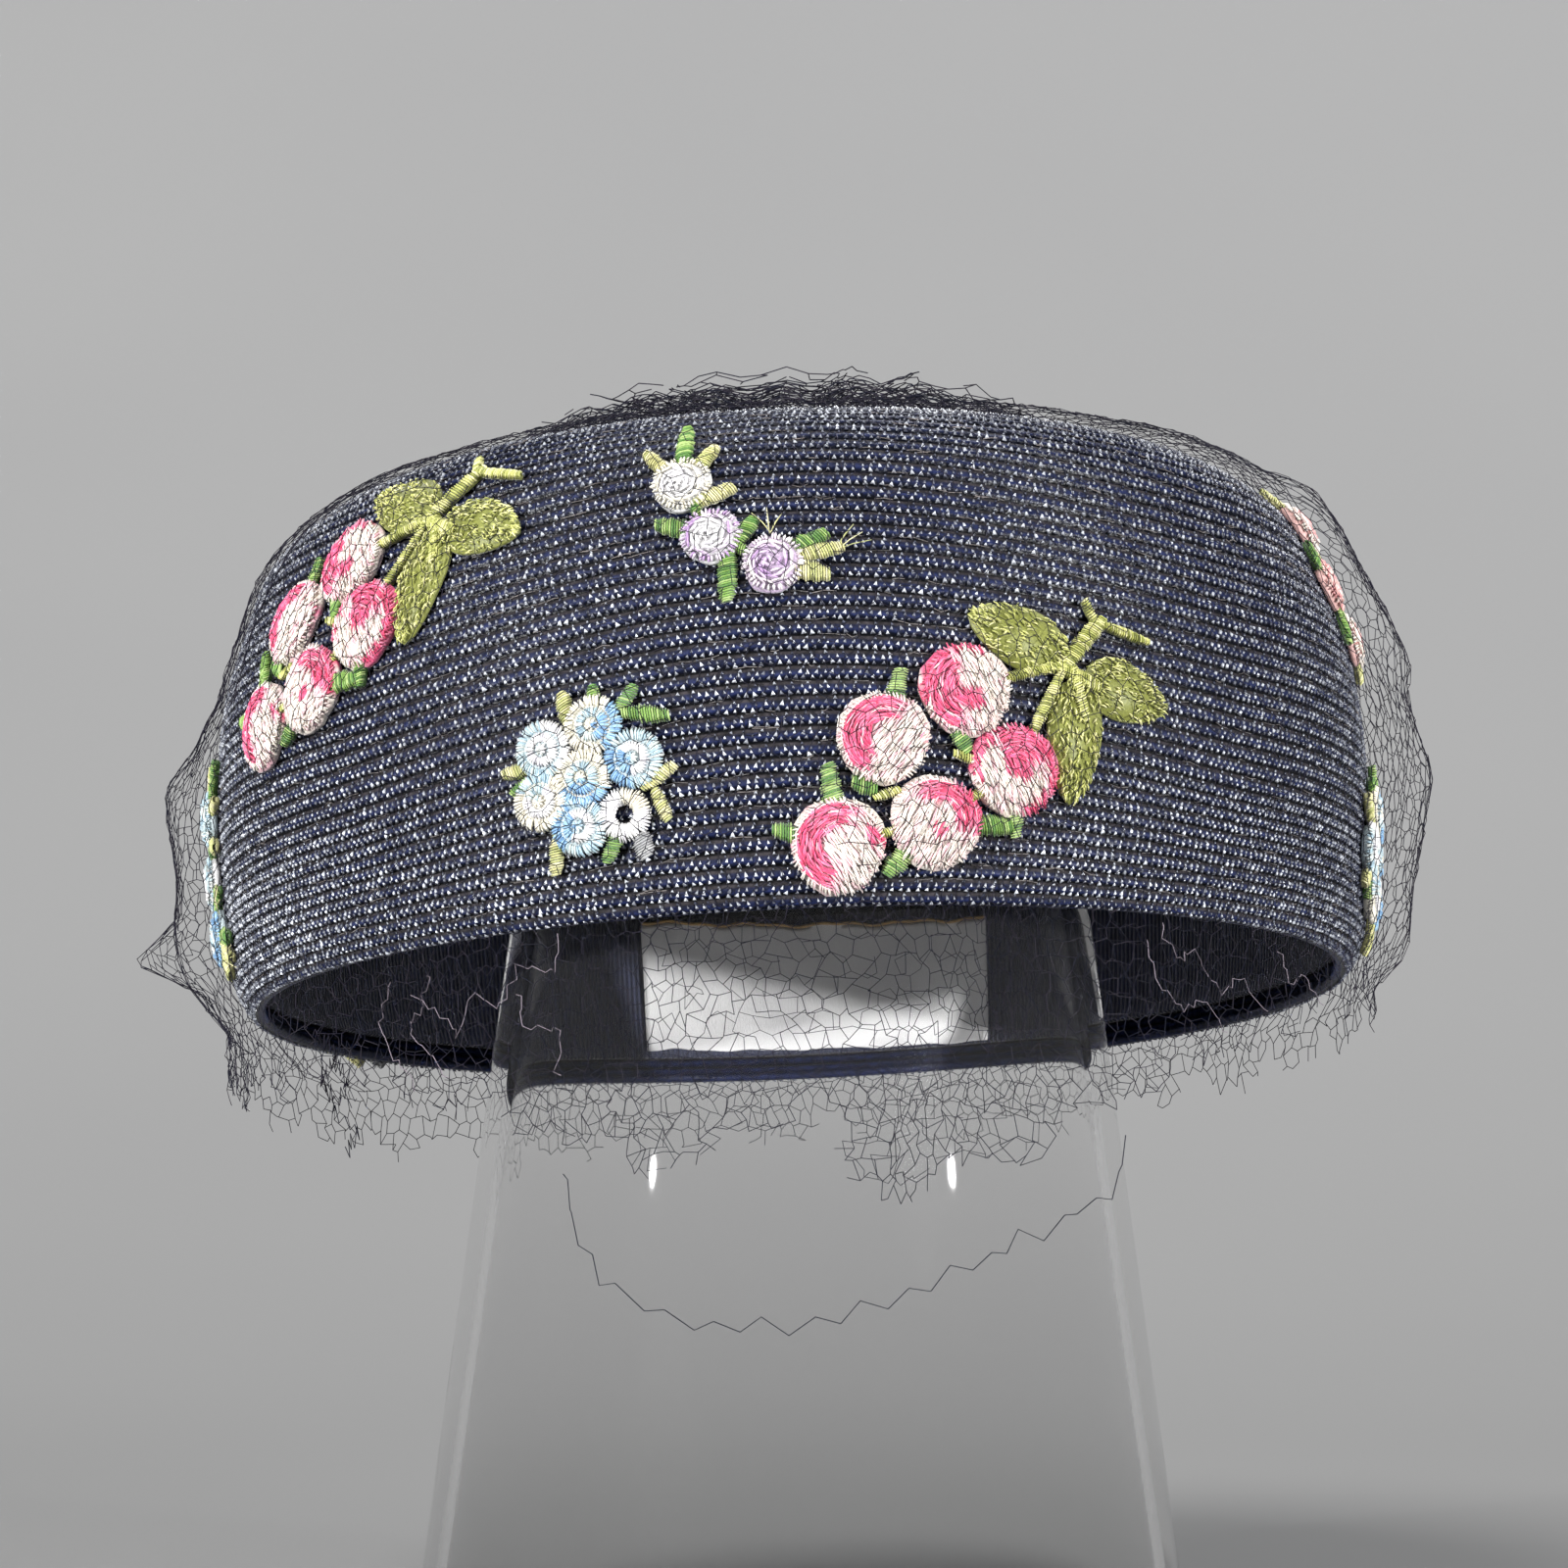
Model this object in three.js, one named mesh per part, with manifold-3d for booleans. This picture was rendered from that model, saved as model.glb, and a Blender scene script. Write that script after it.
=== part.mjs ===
import * as THREE from 'three';
import { mergeVertices } from 'three/addons/utils/BufferGeometryUtils.js';
import { TessellateModifier } from 'three/addons/modifiers/TessellateModifier.js';
import Module from 'manifold-3d';

const wasm = await Module();
wasm.setup();

// Driving dimensions, millimetres and degrees
const fit_gap = 0.3;
const weld_distance = 0.0005;

const crown_width = 180;
const crown_depth = 182;
const crown_height = 79;
const crown_wall = 2;
const crown_sides = 32;
const crown_inner_steps = 5;
const braid_pitch = 2.2;
const braid_rows_per_rib = 2;
const braid_relief = 0.5;

const headband_width = 25;
const headband_thickness = 1;
const headband_rise = 4;

const label_width = 62;
const label_height = 21.5;
const label_thickness = 1;
const label_rise = 6;
const label_offset = 4;
const label_columns = 8;
const label_rows = 2;

const leaf_thickness = 0.7;
const leaf_points = 3;
const small_leaf_points = 2;
const small_leaf_length = 8;
const berry_diameter = 12.8;
const berry_thickness = 1.5;
const rose_diameter = 8.4;
const rose_thickness = 1.4;
const rosette_spacing = 8;
const rosette_diameter = 9.4;
const rosette_thickness = 1.3;
const posy_heart_radius = 6;
const stalk_width = 1.6;
const bloom_sides = 8;
const rosette_sides = 6;
const largest_edge = 9;
const edge_splits = 4;

const veil_thickness = 1;
const veil_columns = 22;
const veil_pierced_rows = 5;
const veil_clearance = 0.6;
const veil_right_billow = 6.5;
const veil_left_billow = 5.5;
const veil_puff_height = 10;
const veil_puff_radius = 45;
const veil_longest_hang = 38;
const veil_mesh_strand = 1.6;
const veil_pleat = 1.2;

const stand_foot_diameter = 121;
const stand_neck_diameter = 97;
const stand_shoulder_diameter = 80;
const stand_shoulder_rise = 29;
const stand_dome_diameter = 52;
const stand_dome_start = 26;
const stand_dome_steps = 5;
const stand_wall = 4;
const stand_sides = 32;

const rim_height = 100;
const hat_tilt = 10;
const hat_roll = 2.4;

// Crown side from the rim up to the edge of the flat top:
// reach is a share of half the crown width, height a share of the crown height
const crown_profile = [
  { reach: 0.946, height: 0.0 },
  { reach: 0.976, height: 0.06 },
  { reach: 0.991, height: 0.2 },
  { reach: 1.0, height: 0.4 },
  { reach: 0.985, height: 0.6 },
  { reach: 0.948, height: 0.74 },
  { reach: 0.906, height: 0.86 },
  { reach: 0.83, height: 0.94 },
  { reach: 0.73, height: 0.985 },
  { reach: 0.63, height: 1.0 },
];

// Net over the crown side: at is a share of the side's length from the rim up,
// right and left are shares of the two billows
const veil_side_rows = [
  { at: 0.04, right: 0.5, left: 1.0 },
  { at: 0.2, right: 0.8, left: 1.0 },
  { at: 0.36, right: 1.0, left: 0.6 },
  { at: 0.52, right: 1.0, left: 0.2 },
  { at: 0.68, right: 0.8, left: 0.0 },
  { at: 0.84, right: 0.45, left: 0.0 },
  { at: 1.0, right: 0.1, left: 0.0 },
];

// Gathered puff of net on the flat top: reach is a share of the puff radius,
// rise a share of the puff height, pleat a share of the pleat depth
const veil_top_rows = [
  { reach: 1.08, rise: 0.35, pleat: 0.6 },
  { reach: 0.92, rise: 0.95, pleat: 1.0 },
  { reach: 0.6, rise: 1.0, pleat: 1.0 },
  { reach: 0.25, rise: 0.3, pleat: 0.4 },
];

// How far the net hangs below the rim round the hat, from the back over the left,
// the front and the right to the back again: hang is a share of the longest hang
const veil_hem = [
  { azimuth: -180, hang: 0.24 },
  { azimuth: -150, hang: 0.3 },
  { azimuth: -125, hang: 0.42 },
  { azimuth: -90, hang: 0.22 },
  { azimuth: -60, hang: 0.26 },
  { azimuth: -40, hang: 0.5 },
  { azimuth: -25, hang: 0.88 },
  { azimuth: -8, hang: 0.8 },
  { azimuth: 8, hang: 1.0 },
  { azimuth: 25, hang: 0.92 },
  { azimuth: 40, hang: 0.45 },
  { azimuth: 60, hang: 0.24 },
  { azimuth: 90, hang: 0.16 },
  { azimuth: 150, hang: 0.3 },
  { azimuth: 180, hang: 0.24 },
];

// Padded bloom from its rim over a raised ring to its sunken middle:
// reach is a share of its radius, height a share of its thickness
const bloom_profile = [
  { reach: 1.0, height: 0.0 },
  { reach: 1.0, height: 0.6 },
  { reach: 0.7, height: 1.0 },
  { reach: 0.0, height: 0.75 },
];

// Berry spray, in shares of the berry diameter from the middle of the spray
const berry_blooms = [
  { x: 0.47, y: 0.9 },
  { x: -0.47, y: 0.37 },
  { x: 1.0, y: 0.02 },
  { x: 0.09, y: -0.56 },
  { x: -0.99, y: -0.79 },
];
const berry_joint = { x: 1.67, y: 1.23 };
const berry_leaves = [
  { x: 1.67, y: 1.23, turn: 64, length: 1.25, width: 0.7 },
  { x: 1.67, y: 1.23, turn: -105, length: 1.32, width: 0.78 },
  { x: 1.67, y: 1.23, turn: -177, length: 1.45, width: 0.62 },
  { x: -0.47, y: 0.37, turn: -17, length: 0.88, width: 0.26 },
  { x: -0.99, y: -0.79, turn: 6, length: 0.95, width: 0.26 },
  { x: -0.99, y: -0.79, turn: 75, length: 0.8, width: 0.26 },
  { x: 0.09, y: -0.56, turn: 135, length: 0.85, width: 0.26 },
  { x: 0.09, y: -0.56, turn: -93, length: 0.9, width: 0.26 },
];
const berry_stalks = [
  { from: berry_joint, to: { x: 2.2, y: 1.75 } },
  { from: { x: 1.9, y: 1.92 }, to: { x: 2.85, y: 1.58 } },
  { from: berry_joint, to: berry_blooms[0] },
  { from: berry_joint, to: berry_blooms[2] },
  { from: berry_blooms[0], to: berry_blooms[1] },
  { from: berry_blooms[2], to: berry_blooms[3] },
  { from: berry_blooms[3], to: berry_blooms[4] },
];

// Rose sprig, in shares of the rose diameter from the middle of the sprig
const sprig_blooms = [
  { x: -0.68, y: 0.92 },
  { x: -0.18, y: -0.15 },
  { x: 0.85, y: -0.72 },
];
const sprig_leaves = [
  { x: -0.68, y: 0.9, turn: -3, length: 1.25, width: 0.4 },
  { x: -0.68, y: 0.9, turn: 42, length: 0.95, width: 0.36 },
  { x: -0.68, y: 0.9, turn: -38, length: 0.95, width: 0.36 },
  { x: -0.18, y: -0.1, turn: 70, length: 0.95, width: 0.4 },
  { x: 0.4, y: -0.5, turn: 165, length: 0.75, width: 0.36 },
  { x: 0.85, y: -0.72, turn: -62, length: 1.05, width: 0.38 },
  { x: 0.85, y: -0.72, turn: -100, length: 0.95, width: 0.36 },
];
const sprig_stalks = [
  { from: sprig_blooms[0], to: sprig_blooms[1] },
  { from: sprig_blooms[1], to: sprig_blooms[2] },
];

// Posy, in shares of the rosette spacing from the middle of the posy
const posy_blooms = [
  { x: 0.1, y: 0.9 },
  { x: 0.8, y: 0.24 },
  { x: -0.14, y: -0.02 },
  { x: -0.85, y: 0.56 },
  { x: -0.95, y: -0.35 },
  { x: -0.25, y: -0.86 },
  { x: 0.58, y: -0.73 },
];
const posy_leaves = [
  { turn: 22, length: 1.45, width: 0.4 },
  { turn: -24, length: 1.55, width: 0.42 },
  { turn: -52, length: 1.5, width: 0.4 },
  { turn: 78, length: 1.6, width: 0.4 },
  { turn: 145, length: 1.5, width: 0.4 },
  { turn: -125, length: 1.35, width: 0.4 },
  { turn: 178, length: 1.4, width: 0.36 },
];

// Where each motif lies on the crown: azimuth in degrees from the front towards the
// right, at as a share of the side's length up from the rim, turn in degrees
const motifs = [
  { kind: 'berry_spray', name: 'berry_spray_1', azimuth: 12.3, at: 0.2, turn: 0, tint: 'berry' },
  { kind: 'berry_spray', name: 'berry_spray_2', azimuth: -52, at: 0.495, turn: 0, tint: 'berry' },
  { kind: 'berry_spray', name: 'berry_spray_3', azimuth: 142, at: 0.4, turn: 8, tint: 'berry' },
  { kind: 'sprig', name: 'sprig_1', azimuth: -5.4, at: 0.585, turn: 0, tint: 'lilac' },
  { kind: 'sprig', name: 'sprig_2', azimuth: 77, at: 0.62, turn: -30, tint: 'salmon' },
  { kind: 'sprig', name: 'sprig_3', azimuth: -83, at: 0.22, turn: -40, tint: 'sky' },
  { kind: 'sprig', name: 'sprig_4', azimuth: -160, at: 0.5, turn: 15, tint: 'lilac' },
  { kind: 'posy', name: 'posy_1', azimuth: -18.7, at: 0.212, turn: 0, tint: 'sky' },
  { kind: 'posy', name: 'posy_2', azimuth: 82, at: 0.18, turn: 35, tint: 'sky' },
  { kind: 'posy', name: 'posy_3', azimuth: -122, at: 0.13, turn: -60, tint: 'sky' },
  { kind: 'posy', name: 'posy_4', azimuth: 178, at: 0.19, turn: 90, tint: 'sky' },
];

// Finishes
const finishes = {
  braid: { color: 0x1b2544, roughness: 0.45, metalness: 0 },
  ribbon: { color: 0x141a2e, roughness: 0.7, metalness: 0 },
  satin: { color: 0xd9d9d6, roughness: 0.4, metalness: 0 },
  net: { color: 0x22222c, roughness: 0.7, metalness: 0 },
  leaf: { color: 0x7f9040, roughness: 0.8, metalness: 0 },
  berry: { color: 0xe0698a, roughness: 0.75, metalness: 0 },
  lilac: { color: 0xcdb9dc, roughness: 0.75, metalness: 0 },
  salmon: { color: 0xe98d80, roughness: 0.75, metalness: 0 },
  sky: { color: 0xb4d0e2, roughness: 0.75, metalness: 0 },
  clear: { color: 0xdde4e6, roughness: 0.08, metalness: 0 },
};

function piece(name, geometry, finish) {
  const mesh = new THREE.Mesh(geometry, new THREE.MeshStandardMaterial(finishes[finish]));
  mesh.name = name;
  return mesh;
}

function radians(degrees) {
  return THREE.MathUtils.degToRad(degrees);
}

// Value of one column of a table at a place along another column, by straight lines
function tableValue(rows, along, column, place) {
  const next = rows.findIndex((row) => row[along] >= place);
  if (next <= 0) return rows[Math.max(next, 0)][column];
  const low = rows[next - 1];
  const high = rows[next];
  const share = (place - low[along]) / (high[along] - low[along]);
  return THREE.MathUtils.lerp(low[column], high[column], share);
}

// Closed solid from a geometry and back, for cuts and joins
function toSolid(geometry) {
  const bare = geometry.clone();
  bare.deleteAttribute('normal');
  bare.deleteAttribute('uv');
  const merged = mergeVertices(bare, weld_distance);
  return new wasm.Manifold(new wasm.Mesh({
    numProp: 3,
    vertProperties: new Float32Array(merged.attributes.position.array),
    triVerts: new Uint32Array(merged.index.array),
  }));
}

function fromSolid(solid) {
  const mesh = solid.getMesh();
  const geometry = new THREE.BufferGeometry();
  geometry.setAttribute('position', new THREE.Float32BufferAttribute(mesh.vertProperties, 3));
  geometry.setIndex(new THREE.Uint32BufferAttribute(mesh.triVerts, 1));
  geometry.computeVertexNormals();
  return geometry;
}

function joined(geometries) {
  return fromSolid(geometries.map(toSolid).reduce((whole, next) => whole.add(next)));
}

// Crown surface, in the hat's own frame: rim at height 0, front towards -Y
const half_width = crown_width / 2;
const side_curve = new THREE.SplineCurve(crown_profile.map(
  (row) => new THREE.Vector2(row.reach * half_width, row.height * crown_height)));
const side_length = side_curve.getLength();

// Point of the crown's section, at a length up the side, moved out along its normal
function sectionPoint(length, out) {
  const share = THREE.MathUtils.clamp(length / side_length, 0, 1);
  const point = side_curve.getPointAt(share);
  const tangent = side_curve.getTangentAt(share);
  const below = Math.min(length, 0);
  return new THREE.Vector2(point.x + out * tangent.y, point.y - out * tangent.x + below);
}

function crownPoint(azimuth, length, out) {
  const section = sectionPoint(length, out);
  return ringPoint(azimuth, section.x, section.y);
}

function ringPoint(azimuth, radius, height) {
  const turn = radians(azimuth);
  return new THREE.Vector3(
    radius * Math.sin(turn), -radius * Math.cos(turn) * crown_depth / crown_width, height);
}

// Solid of revolution about Z with the crown's oval plan, from a closed section
function ovalLathe(section, sides) {
  const geometry = new THREE.LatheGeometry(section, sides);
  geometry.rotateX(Math.PI / 2);
  geometry.scale(1, crown_depth / crown_width, 1);
  return geometry;
}

// Lengths up the side where the headband starts, bends and ends
const headband_lengths = [0, 0.5, 1].map((share) => headband_rise + headband_width * share);

function crown() {
  const ribs = Math.round(side_length / braid_pitch / braid_rows_per_rib);
  const section = [new THREE.Vector2(0, crown_height - crown_wall)];
  const headband_top = headband_lengths.at(-1);
  for (let step = crown_inner_steps; step > 0; step -= 1) {
    const length = THREE.MathUtils.lerp(headband_top, side_length, step / crown_inner_steps);
    section.push(sectionPoint(length, -crown_wall));
  }
  for (const length of headband_lengths.toReversed()) {
    section.push(sectionPoint(length, -crown_wall));
  }
  section.push(sectionPoint(0, -crown_wall));
  for (let rib = 0; rib < ribs; rib += 1) {
    section.push(sectionPoint(side_length * rib / ribs, -braid_relief));
    section.push(sectionPoint(side_length * (rib + 0.5) / ribs, 0));
  }
  section.push(sectionPoint(side_length, -braid_relief));
  section.push(new THREE.Vector2(0, crown_height - braid_relief));
  return piece('crown', ovalLathe(section, crown_sides), 'braid');
}

function headband() {
  const outer = -crown_wall - fit_gap;
  const inner = outer - headband_thickness;
  const section = [
    ...headband_lengths.map((length) => sectionPoint(length, outer)),
    ...headband_lengths.toReversed().map((length) => sectionPoint(length, inner)),
  ];
  section.push(section[0].clone());
  return piece('headband', ovalLathe(section, crown_sides), 'ribbon');
}

// Bends a flat piece onto the crown: x runs round it, y up it and z out of it
function wrapped(geometry, azimuth, length, lift) {
  const position = geometry.attributes.position;
  for (let index = 0; index < position.count; index += 1) {
    const up = length + position.getY(index);
    const turn = THREE.MathUtils.radToDeg(position.getX(index) / sectionPoint(up, 0).x);
    const point = crownPoint(azimuth + turn, up, lift + position.getZ(index));
    position.setXYZ(index, point.x, point.y, point.z);
  }
  geometry.computeVertexNormals();
  return geometry;
}

function label() {
  const flat = new THREE.BoxGeometry(
    label_width, label_height, label_thickness, label_columns, label_rows, 1);
  flat.rotateY(Math.PI);
  const lift = -crown_wall - headband_thickness - 2 * fit_gap - label_thickness / 2;
  const azimuth = 180 - THREE.MathUtils.radToDeg(label_offset / half_width);
  const facet = half_width * (1 - Math.cos(Math.PI / crown_sides));
  const bent = wrapped(flat, azimuth, label_rise + label_height / 2, lift - facet);
  return piece('label', bent, 'satin');
}

// Flat outlines of the motifs, extruded from z = 0
function leafPlate(row, size) {
  const shape = new THREE.Shape();
  const length = row.length * size;
  const side = row.width * size;
  shape.moveTo(0, 0);
  shape.quadraticCurveTo(side, length / 2, 0, length);
  shape.quadraticCurveTo(-side, length / 2, 0, 0);
  const curveSegments = length < small_leaf_length ? small_leaf_points : leaf_points;
  const options = { depth: leaf_thickness, bevelEnabled: false, curveSegments };
  const geometry = new THREE.ExtrudeGeometry(shape, options);
  geometry.rotateZ(radians(row.turn));
  geometry.translate((row.x ?? 0) * size, (row.y ?? 0) * size, 0);
  return geometry;
}

function stalkPlate(from, to, size) {
  const run = new THREE.Vector2(to.x - from.x, to.y - from.y).multiplyScalar(size);
  const geometry = new THREE.BoxGeometry(run.length() + stalk_width, stalk_width, leaf_thickness);
  geometry.rotateZ(run.angle());
  geometry.translate(from.x * size + run.x / 2, from.y * size + run.y / 2, leaf_thickness / 2);
  return geometry;
}

// Round padded bloom
function bloomPad(place, size, diameter, thickness, sides) {
  const radius = diameter / 2;
  const section = bloom_profile.map(
    (row) => new THREE.Vector2(radius * row.reach, thickness * row.height));
  const geometry = new THREE.LatheGeometry([new THREE.Vector2(0, 0), ...section], sides);
  geometry.rotateX(Math.PI / 2);
  geometry.translate(place.x * size, place.y * size, 0);
  return geometry;
}

const leaf_lift = fit_gap;
const bloom_lift = 2 * fit_gap + leaf_thickness;

function onCrown(geometry, motif, lift) {
  geometry.rotateZ(radians(motif.turn));
  return wrapped(geometry, motif.azimuth, motif.at * side_length, lift);
}

function leaves(motif, parts) {
  const fine = new TessellateModifier(largest_edge, edge_splits).modify(joined(parts).toNonIndexed());
  fine.deleteAttribute('normal');
  const geometry = onCrown(mergeVertices(fine, weld_distance), motif, leaf_lift);
  return piece(`${motif.name}_leaves`, geometry, 'leaf');
}

function bloomedMotif(motif, blooms, leafRows, stalks, diameter, thickness) {
  const group = new THREE.Group();
  group.add(leaves(motif, [
    ...stalks.map((stalk) => stalkPlate(stalk.from, stalk.to, diameter)),
    ...leafRows.map((row) => leafPlate(row, diameter)),
  ]));
  blooms.forEach((place, index) => {
    const pad = bloomPad(place, diameter, diameter - fit_gap, thickness, bloom_sides);
    group.add(piece(`${motif.name}_bloom_${index + 1}`, onCrown(pad, motif, bloom_lift), motif.tint));
  });
  return group;
}

function posy(motif) {
  const group = new THREE.Group();
  const heart = new THREE.CylinderGeometry(1, 1, leaf_thickness, bloom_sides);
  heart.rotateX(Math.PI / 2);
  heart.scale(posy_heart_radius, posy_heart_radius, 1);
  heart.translate(0, 0, leaf_thickness / 2);
  group.add(leaves(motif, [heart, ...posy_leaves.map((row) => leafPlate(row, rosette_spacing))]));
  const cluster = joined(posy_blooms.map(
    (place) => bloomPad(place, rosette_spacing, rosette_diameter, rosette_thickness, rosette_sides)));
  group.add(piece(`${motif.name}_blooms`, onCrown(cluster, motif, bloom_lift), motif.tint));
  return group;
}

const motif_makers = {
  berry_spray: (motif) => bloomedMotif(
    motif, berry_blooms, berry_leaves, berry_stalks, berry_diameter, berry_thickness),
  sprig: (motif) => bloomedMotif(
    motif, sprig_blooms, sprig_leaves, sprig_stalks, rose_diameter, rose_thickness),
  posy,
};

// Net: how far its inner face stands off the crown at an azimuth and row
const net_lift = bloom_lift + Math.max(berry_thickness, rose_thickness, rosette_thickness)
  + veil_clearance + half_width * (1 - Math.cos(Math.PI / veil_columns));

function netOut(azimuth, row) {
  const side = Math.sin(radians(azimuth));
  const billow = side > 0 ? row.right * veil_right_billow : row.left * veil_left_billow;
  return net_lift + billow * side * side;
}

function netHem(azimuth) {
  return -veil_longest_hang * tableValue(veil_hem, 'azimuth', 'hang', azimuth);
}

// Point of the net's inner face, moved out by a thickness; columns may be broken numbers
function netPoint(column, row, out) {
  const azimuth = 360 * column / veil_columns - 180;
  if (row.reach === undefined) {
    const length = row.hem ? netHem(azimuth) : row.at * side_length;
    return crownPoint(azimuth, length, netOut(azimuth, row) + out);
  }
  const fold = (column % 2 ? -0.5 : 0.5) * row.pleat * veil_pleat;
  const lift = fit_gap + veil_puff_height * row.rise + fold + out;
  return ringPoint(azimuth, row.reach * veil_puff_radius, crown_height - braid_relief + lift);
}

// Row of the net between two others, at a share of the way up in one column
function rowBetween(column, low, high, share) {
  const azimuth = 360 * column / veil_columns - 180;
  const start = low.hem ? netHem(azimuth) / side_length : low.at;
  const mix = (key) => THREE.MathUtils.lerp(low[key], high[key], share);
  return { at: THREE.MathUtils.lerp(start, high.at, share), right: mix('right'), left: mix('left') };
}

// Lowest, right, highest and left corner of the diamond gap in one cell of the net
function gapCorners(column, low, high) {
  const middle = column + 0.5;
  const width = half_width * radians(360 / veil_columns);
  const across = 0.5 - veil_mesh_strand / width / 2;
  const height = netPoint(middle, high, 0).distanceTo(netPoint(middle, low, 0));
  const strand = veil_mesh_strand / height / 2;
  return (out) => [
    netPoint(middle, rowBetween(middle, low, high, strand), out),
    netPoint(middle + across, rowBetween(middle + across, low, high, 0.5), out),
    netPoint(middle, rowBetween(middle, low, high, 1 - strand), out),
    netPoint(middle - across, rowBetween(middle - across, low, high, 0.5), out),
  ];
}

function veil() {
  const points = [];
  const triangles = [];
  const hem = { ...veil_side_rows[0], hem: true };
  const rows = [hem, ...veil_side_rows, ...veil_top_rows];
  const add = (point) => points.push(point) - 1;
  const quad = (a, b, c, d) => triangles.push(a, b, c, a, c, d);
  const columns = [...Array(veil_columns).keys()];
  const sheet = (out) => rows.map((row) => columns.map((column) => add(netPoint(column, row, out))));
  const inner = sheet(0);
  const outer = sheet(veil_thickness);
  const corners = (face, row, column) => {
    const next = (column + 1) % veil_columns;
    return [face[row][column], face[row][next], face[row + 1][next], face[row + 1][column]];
  };
  const pierced = (row, column) => {
    const gap = gapCorners(column, rows[row], rows[row + 1]);
    const inside = gap(0).map(add);
    const outside = gap(veil_thickness).map(add);
    const inner_cell = corners(inner, row, column);
    const outer_cell = corners(outer, row, column);
    for (let side = 0; side < 4; side += 1) {
      const next = (side + 1) % 4;
      triangles.push(outer_cell[side], outer_cell[next], outside[side]);
      triangles.push(outer_cell[next], outside[next], outside[side]);
      triangles.push(inner_cell[next], inner_cell[side], inside[side]);
      triangles.push(inside[next], inner_cell[next], inside[side]);
      quad(outside[side], outside[next], inside[next], inside[side]);
    }
  };
  for (const column of columns) {
    const [inner_left, inner_right] = corners(inner, 0, column);
    const [outer_left, outer_right] = corners(outer, 0, column);
    quad(outer_right, outer_left, inner_left, inner_right);
    for (let row = 0; row < rows.length - 1; row += 1) {
      if (row < veil_pierced_rows) {
        pierced(row, column);
      } else {
        quad(...corners(outer, row, column));
        quad(...corners(inner, row, column).reverse());
      }
    }
  }
  const seat = { reach: 0, rise: 0, pleat: 0 };
  const inner_seat = add(netPoint(0, seat, 0));
  const outer_seat = add(netPoint(0, seat, veil_thickness));
  for (const column of columns) {
    const next = (column + 1) % veil_columns;
    triangles.push(outer.at(-1)[column], outer.at(-1)[next], outer_seat);
    triangles.push(inner.at(-1)[next], inner.at(-1)[column], inner_seat);
  }
  const geometry = new THREE.BufferGeometry().setFromPoints(points);
  geometry.setIndex(triangles);
  geometry.computeVertexNormals();
  return piece('veil', geometry, 'net');
}

// Stand: the dome's centre is set so that the tilted crown top rests on it
function stand() {
  const dome_radius = stand_dome_diameter / 2;
  const lean = Math.cos(radians(hat_tilt)) * Math.cos(radians(hat_roll));
  const dome_height = rim_height + (crown_height - crown_wall - dome_radius - fit_gap) / lean;
  const wallFace = (inset) => {
    const face = [
      new THREE.Vector2(stand_foot_diameter / 2 - inset, 0),
      new THREE.Vector2(stand_neck_diameter / 2 - inset, rim_height),
      new THREE.Vector2(stand_shoulder_diameter / 2 - inset, rim_height + stand_shoulder_rise),
    ];
    for (let step = 0; step <= stand_dome_steps; step += 1) {
      const turn = radians(stand_dome_start + (90 - stand_dome_start) * step / stand_dome_steps);
      const radius = step === stand_dome_steps ? 0 : (dome_radius - inset) * Math.cos(turn);
      face.push(new THREE.Vector2(radius, dome_height + (dome_radius - inset) * Math.sin(turn)));
    }
    return face;
  };
  const section = [...wallFace(stand_wall).reverse(), ...wallFace(0)];
  const geometry = new THREE.LatheGeometry(section, stand_sides);
  geometry.rotateX(Math.PI / 2);
  return piece('stand', geometry, 'clear');
}

const hat = new THREE.Group();
hat.add(crown(), headband(), label(), veil());
motifs.forEach((motif) => hat.add(motif_makers[motif.kind](motif)));
hat.rotation.set(radians(-hat_tilt), radians(-hat_roll), 0);
hat.position.set(0, 0, rim_height);

const assembly = new THREE.Group();
assembly.add(stand(), hat);

// The origin lies on the floor below the middle of the whole part
const box = new THREE.Box3().setFromObject(assembly, true);
const middle = box.getCenter(new THREE.Vector3());
assembly.position.set(-middle.x, -middle.y, -box.min.z);

const group = new THREE.Group();
group.add(assembly);

export default group;
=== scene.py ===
import math

import bmesh
import bpy
import numpy as np
from mathutils import Matrix, Vector


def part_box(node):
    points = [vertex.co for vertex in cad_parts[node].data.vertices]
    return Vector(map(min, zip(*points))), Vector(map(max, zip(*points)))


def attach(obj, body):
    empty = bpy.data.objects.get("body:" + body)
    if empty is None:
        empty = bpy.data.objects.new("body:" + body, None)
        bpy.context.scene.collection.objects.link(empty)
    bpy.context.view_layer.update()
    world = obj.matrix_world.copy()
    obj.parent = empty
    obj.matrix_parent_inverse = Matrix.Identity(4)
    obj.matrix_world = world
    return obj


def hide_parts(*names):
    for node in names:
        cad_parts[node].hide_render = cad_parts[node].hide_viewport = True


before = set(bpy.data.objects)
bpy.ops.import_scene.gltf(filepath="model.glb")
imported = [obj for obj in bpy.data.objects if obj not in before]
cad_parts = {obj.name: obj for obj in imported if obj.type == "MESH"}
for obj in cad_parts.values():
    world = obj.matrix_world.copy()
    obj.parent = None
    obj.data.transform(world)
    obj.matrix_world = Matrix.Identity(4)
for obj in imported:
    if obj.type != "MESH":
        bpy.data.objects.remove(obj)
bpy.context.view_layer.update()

rng = np.random.default_rng(1958)

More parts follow.
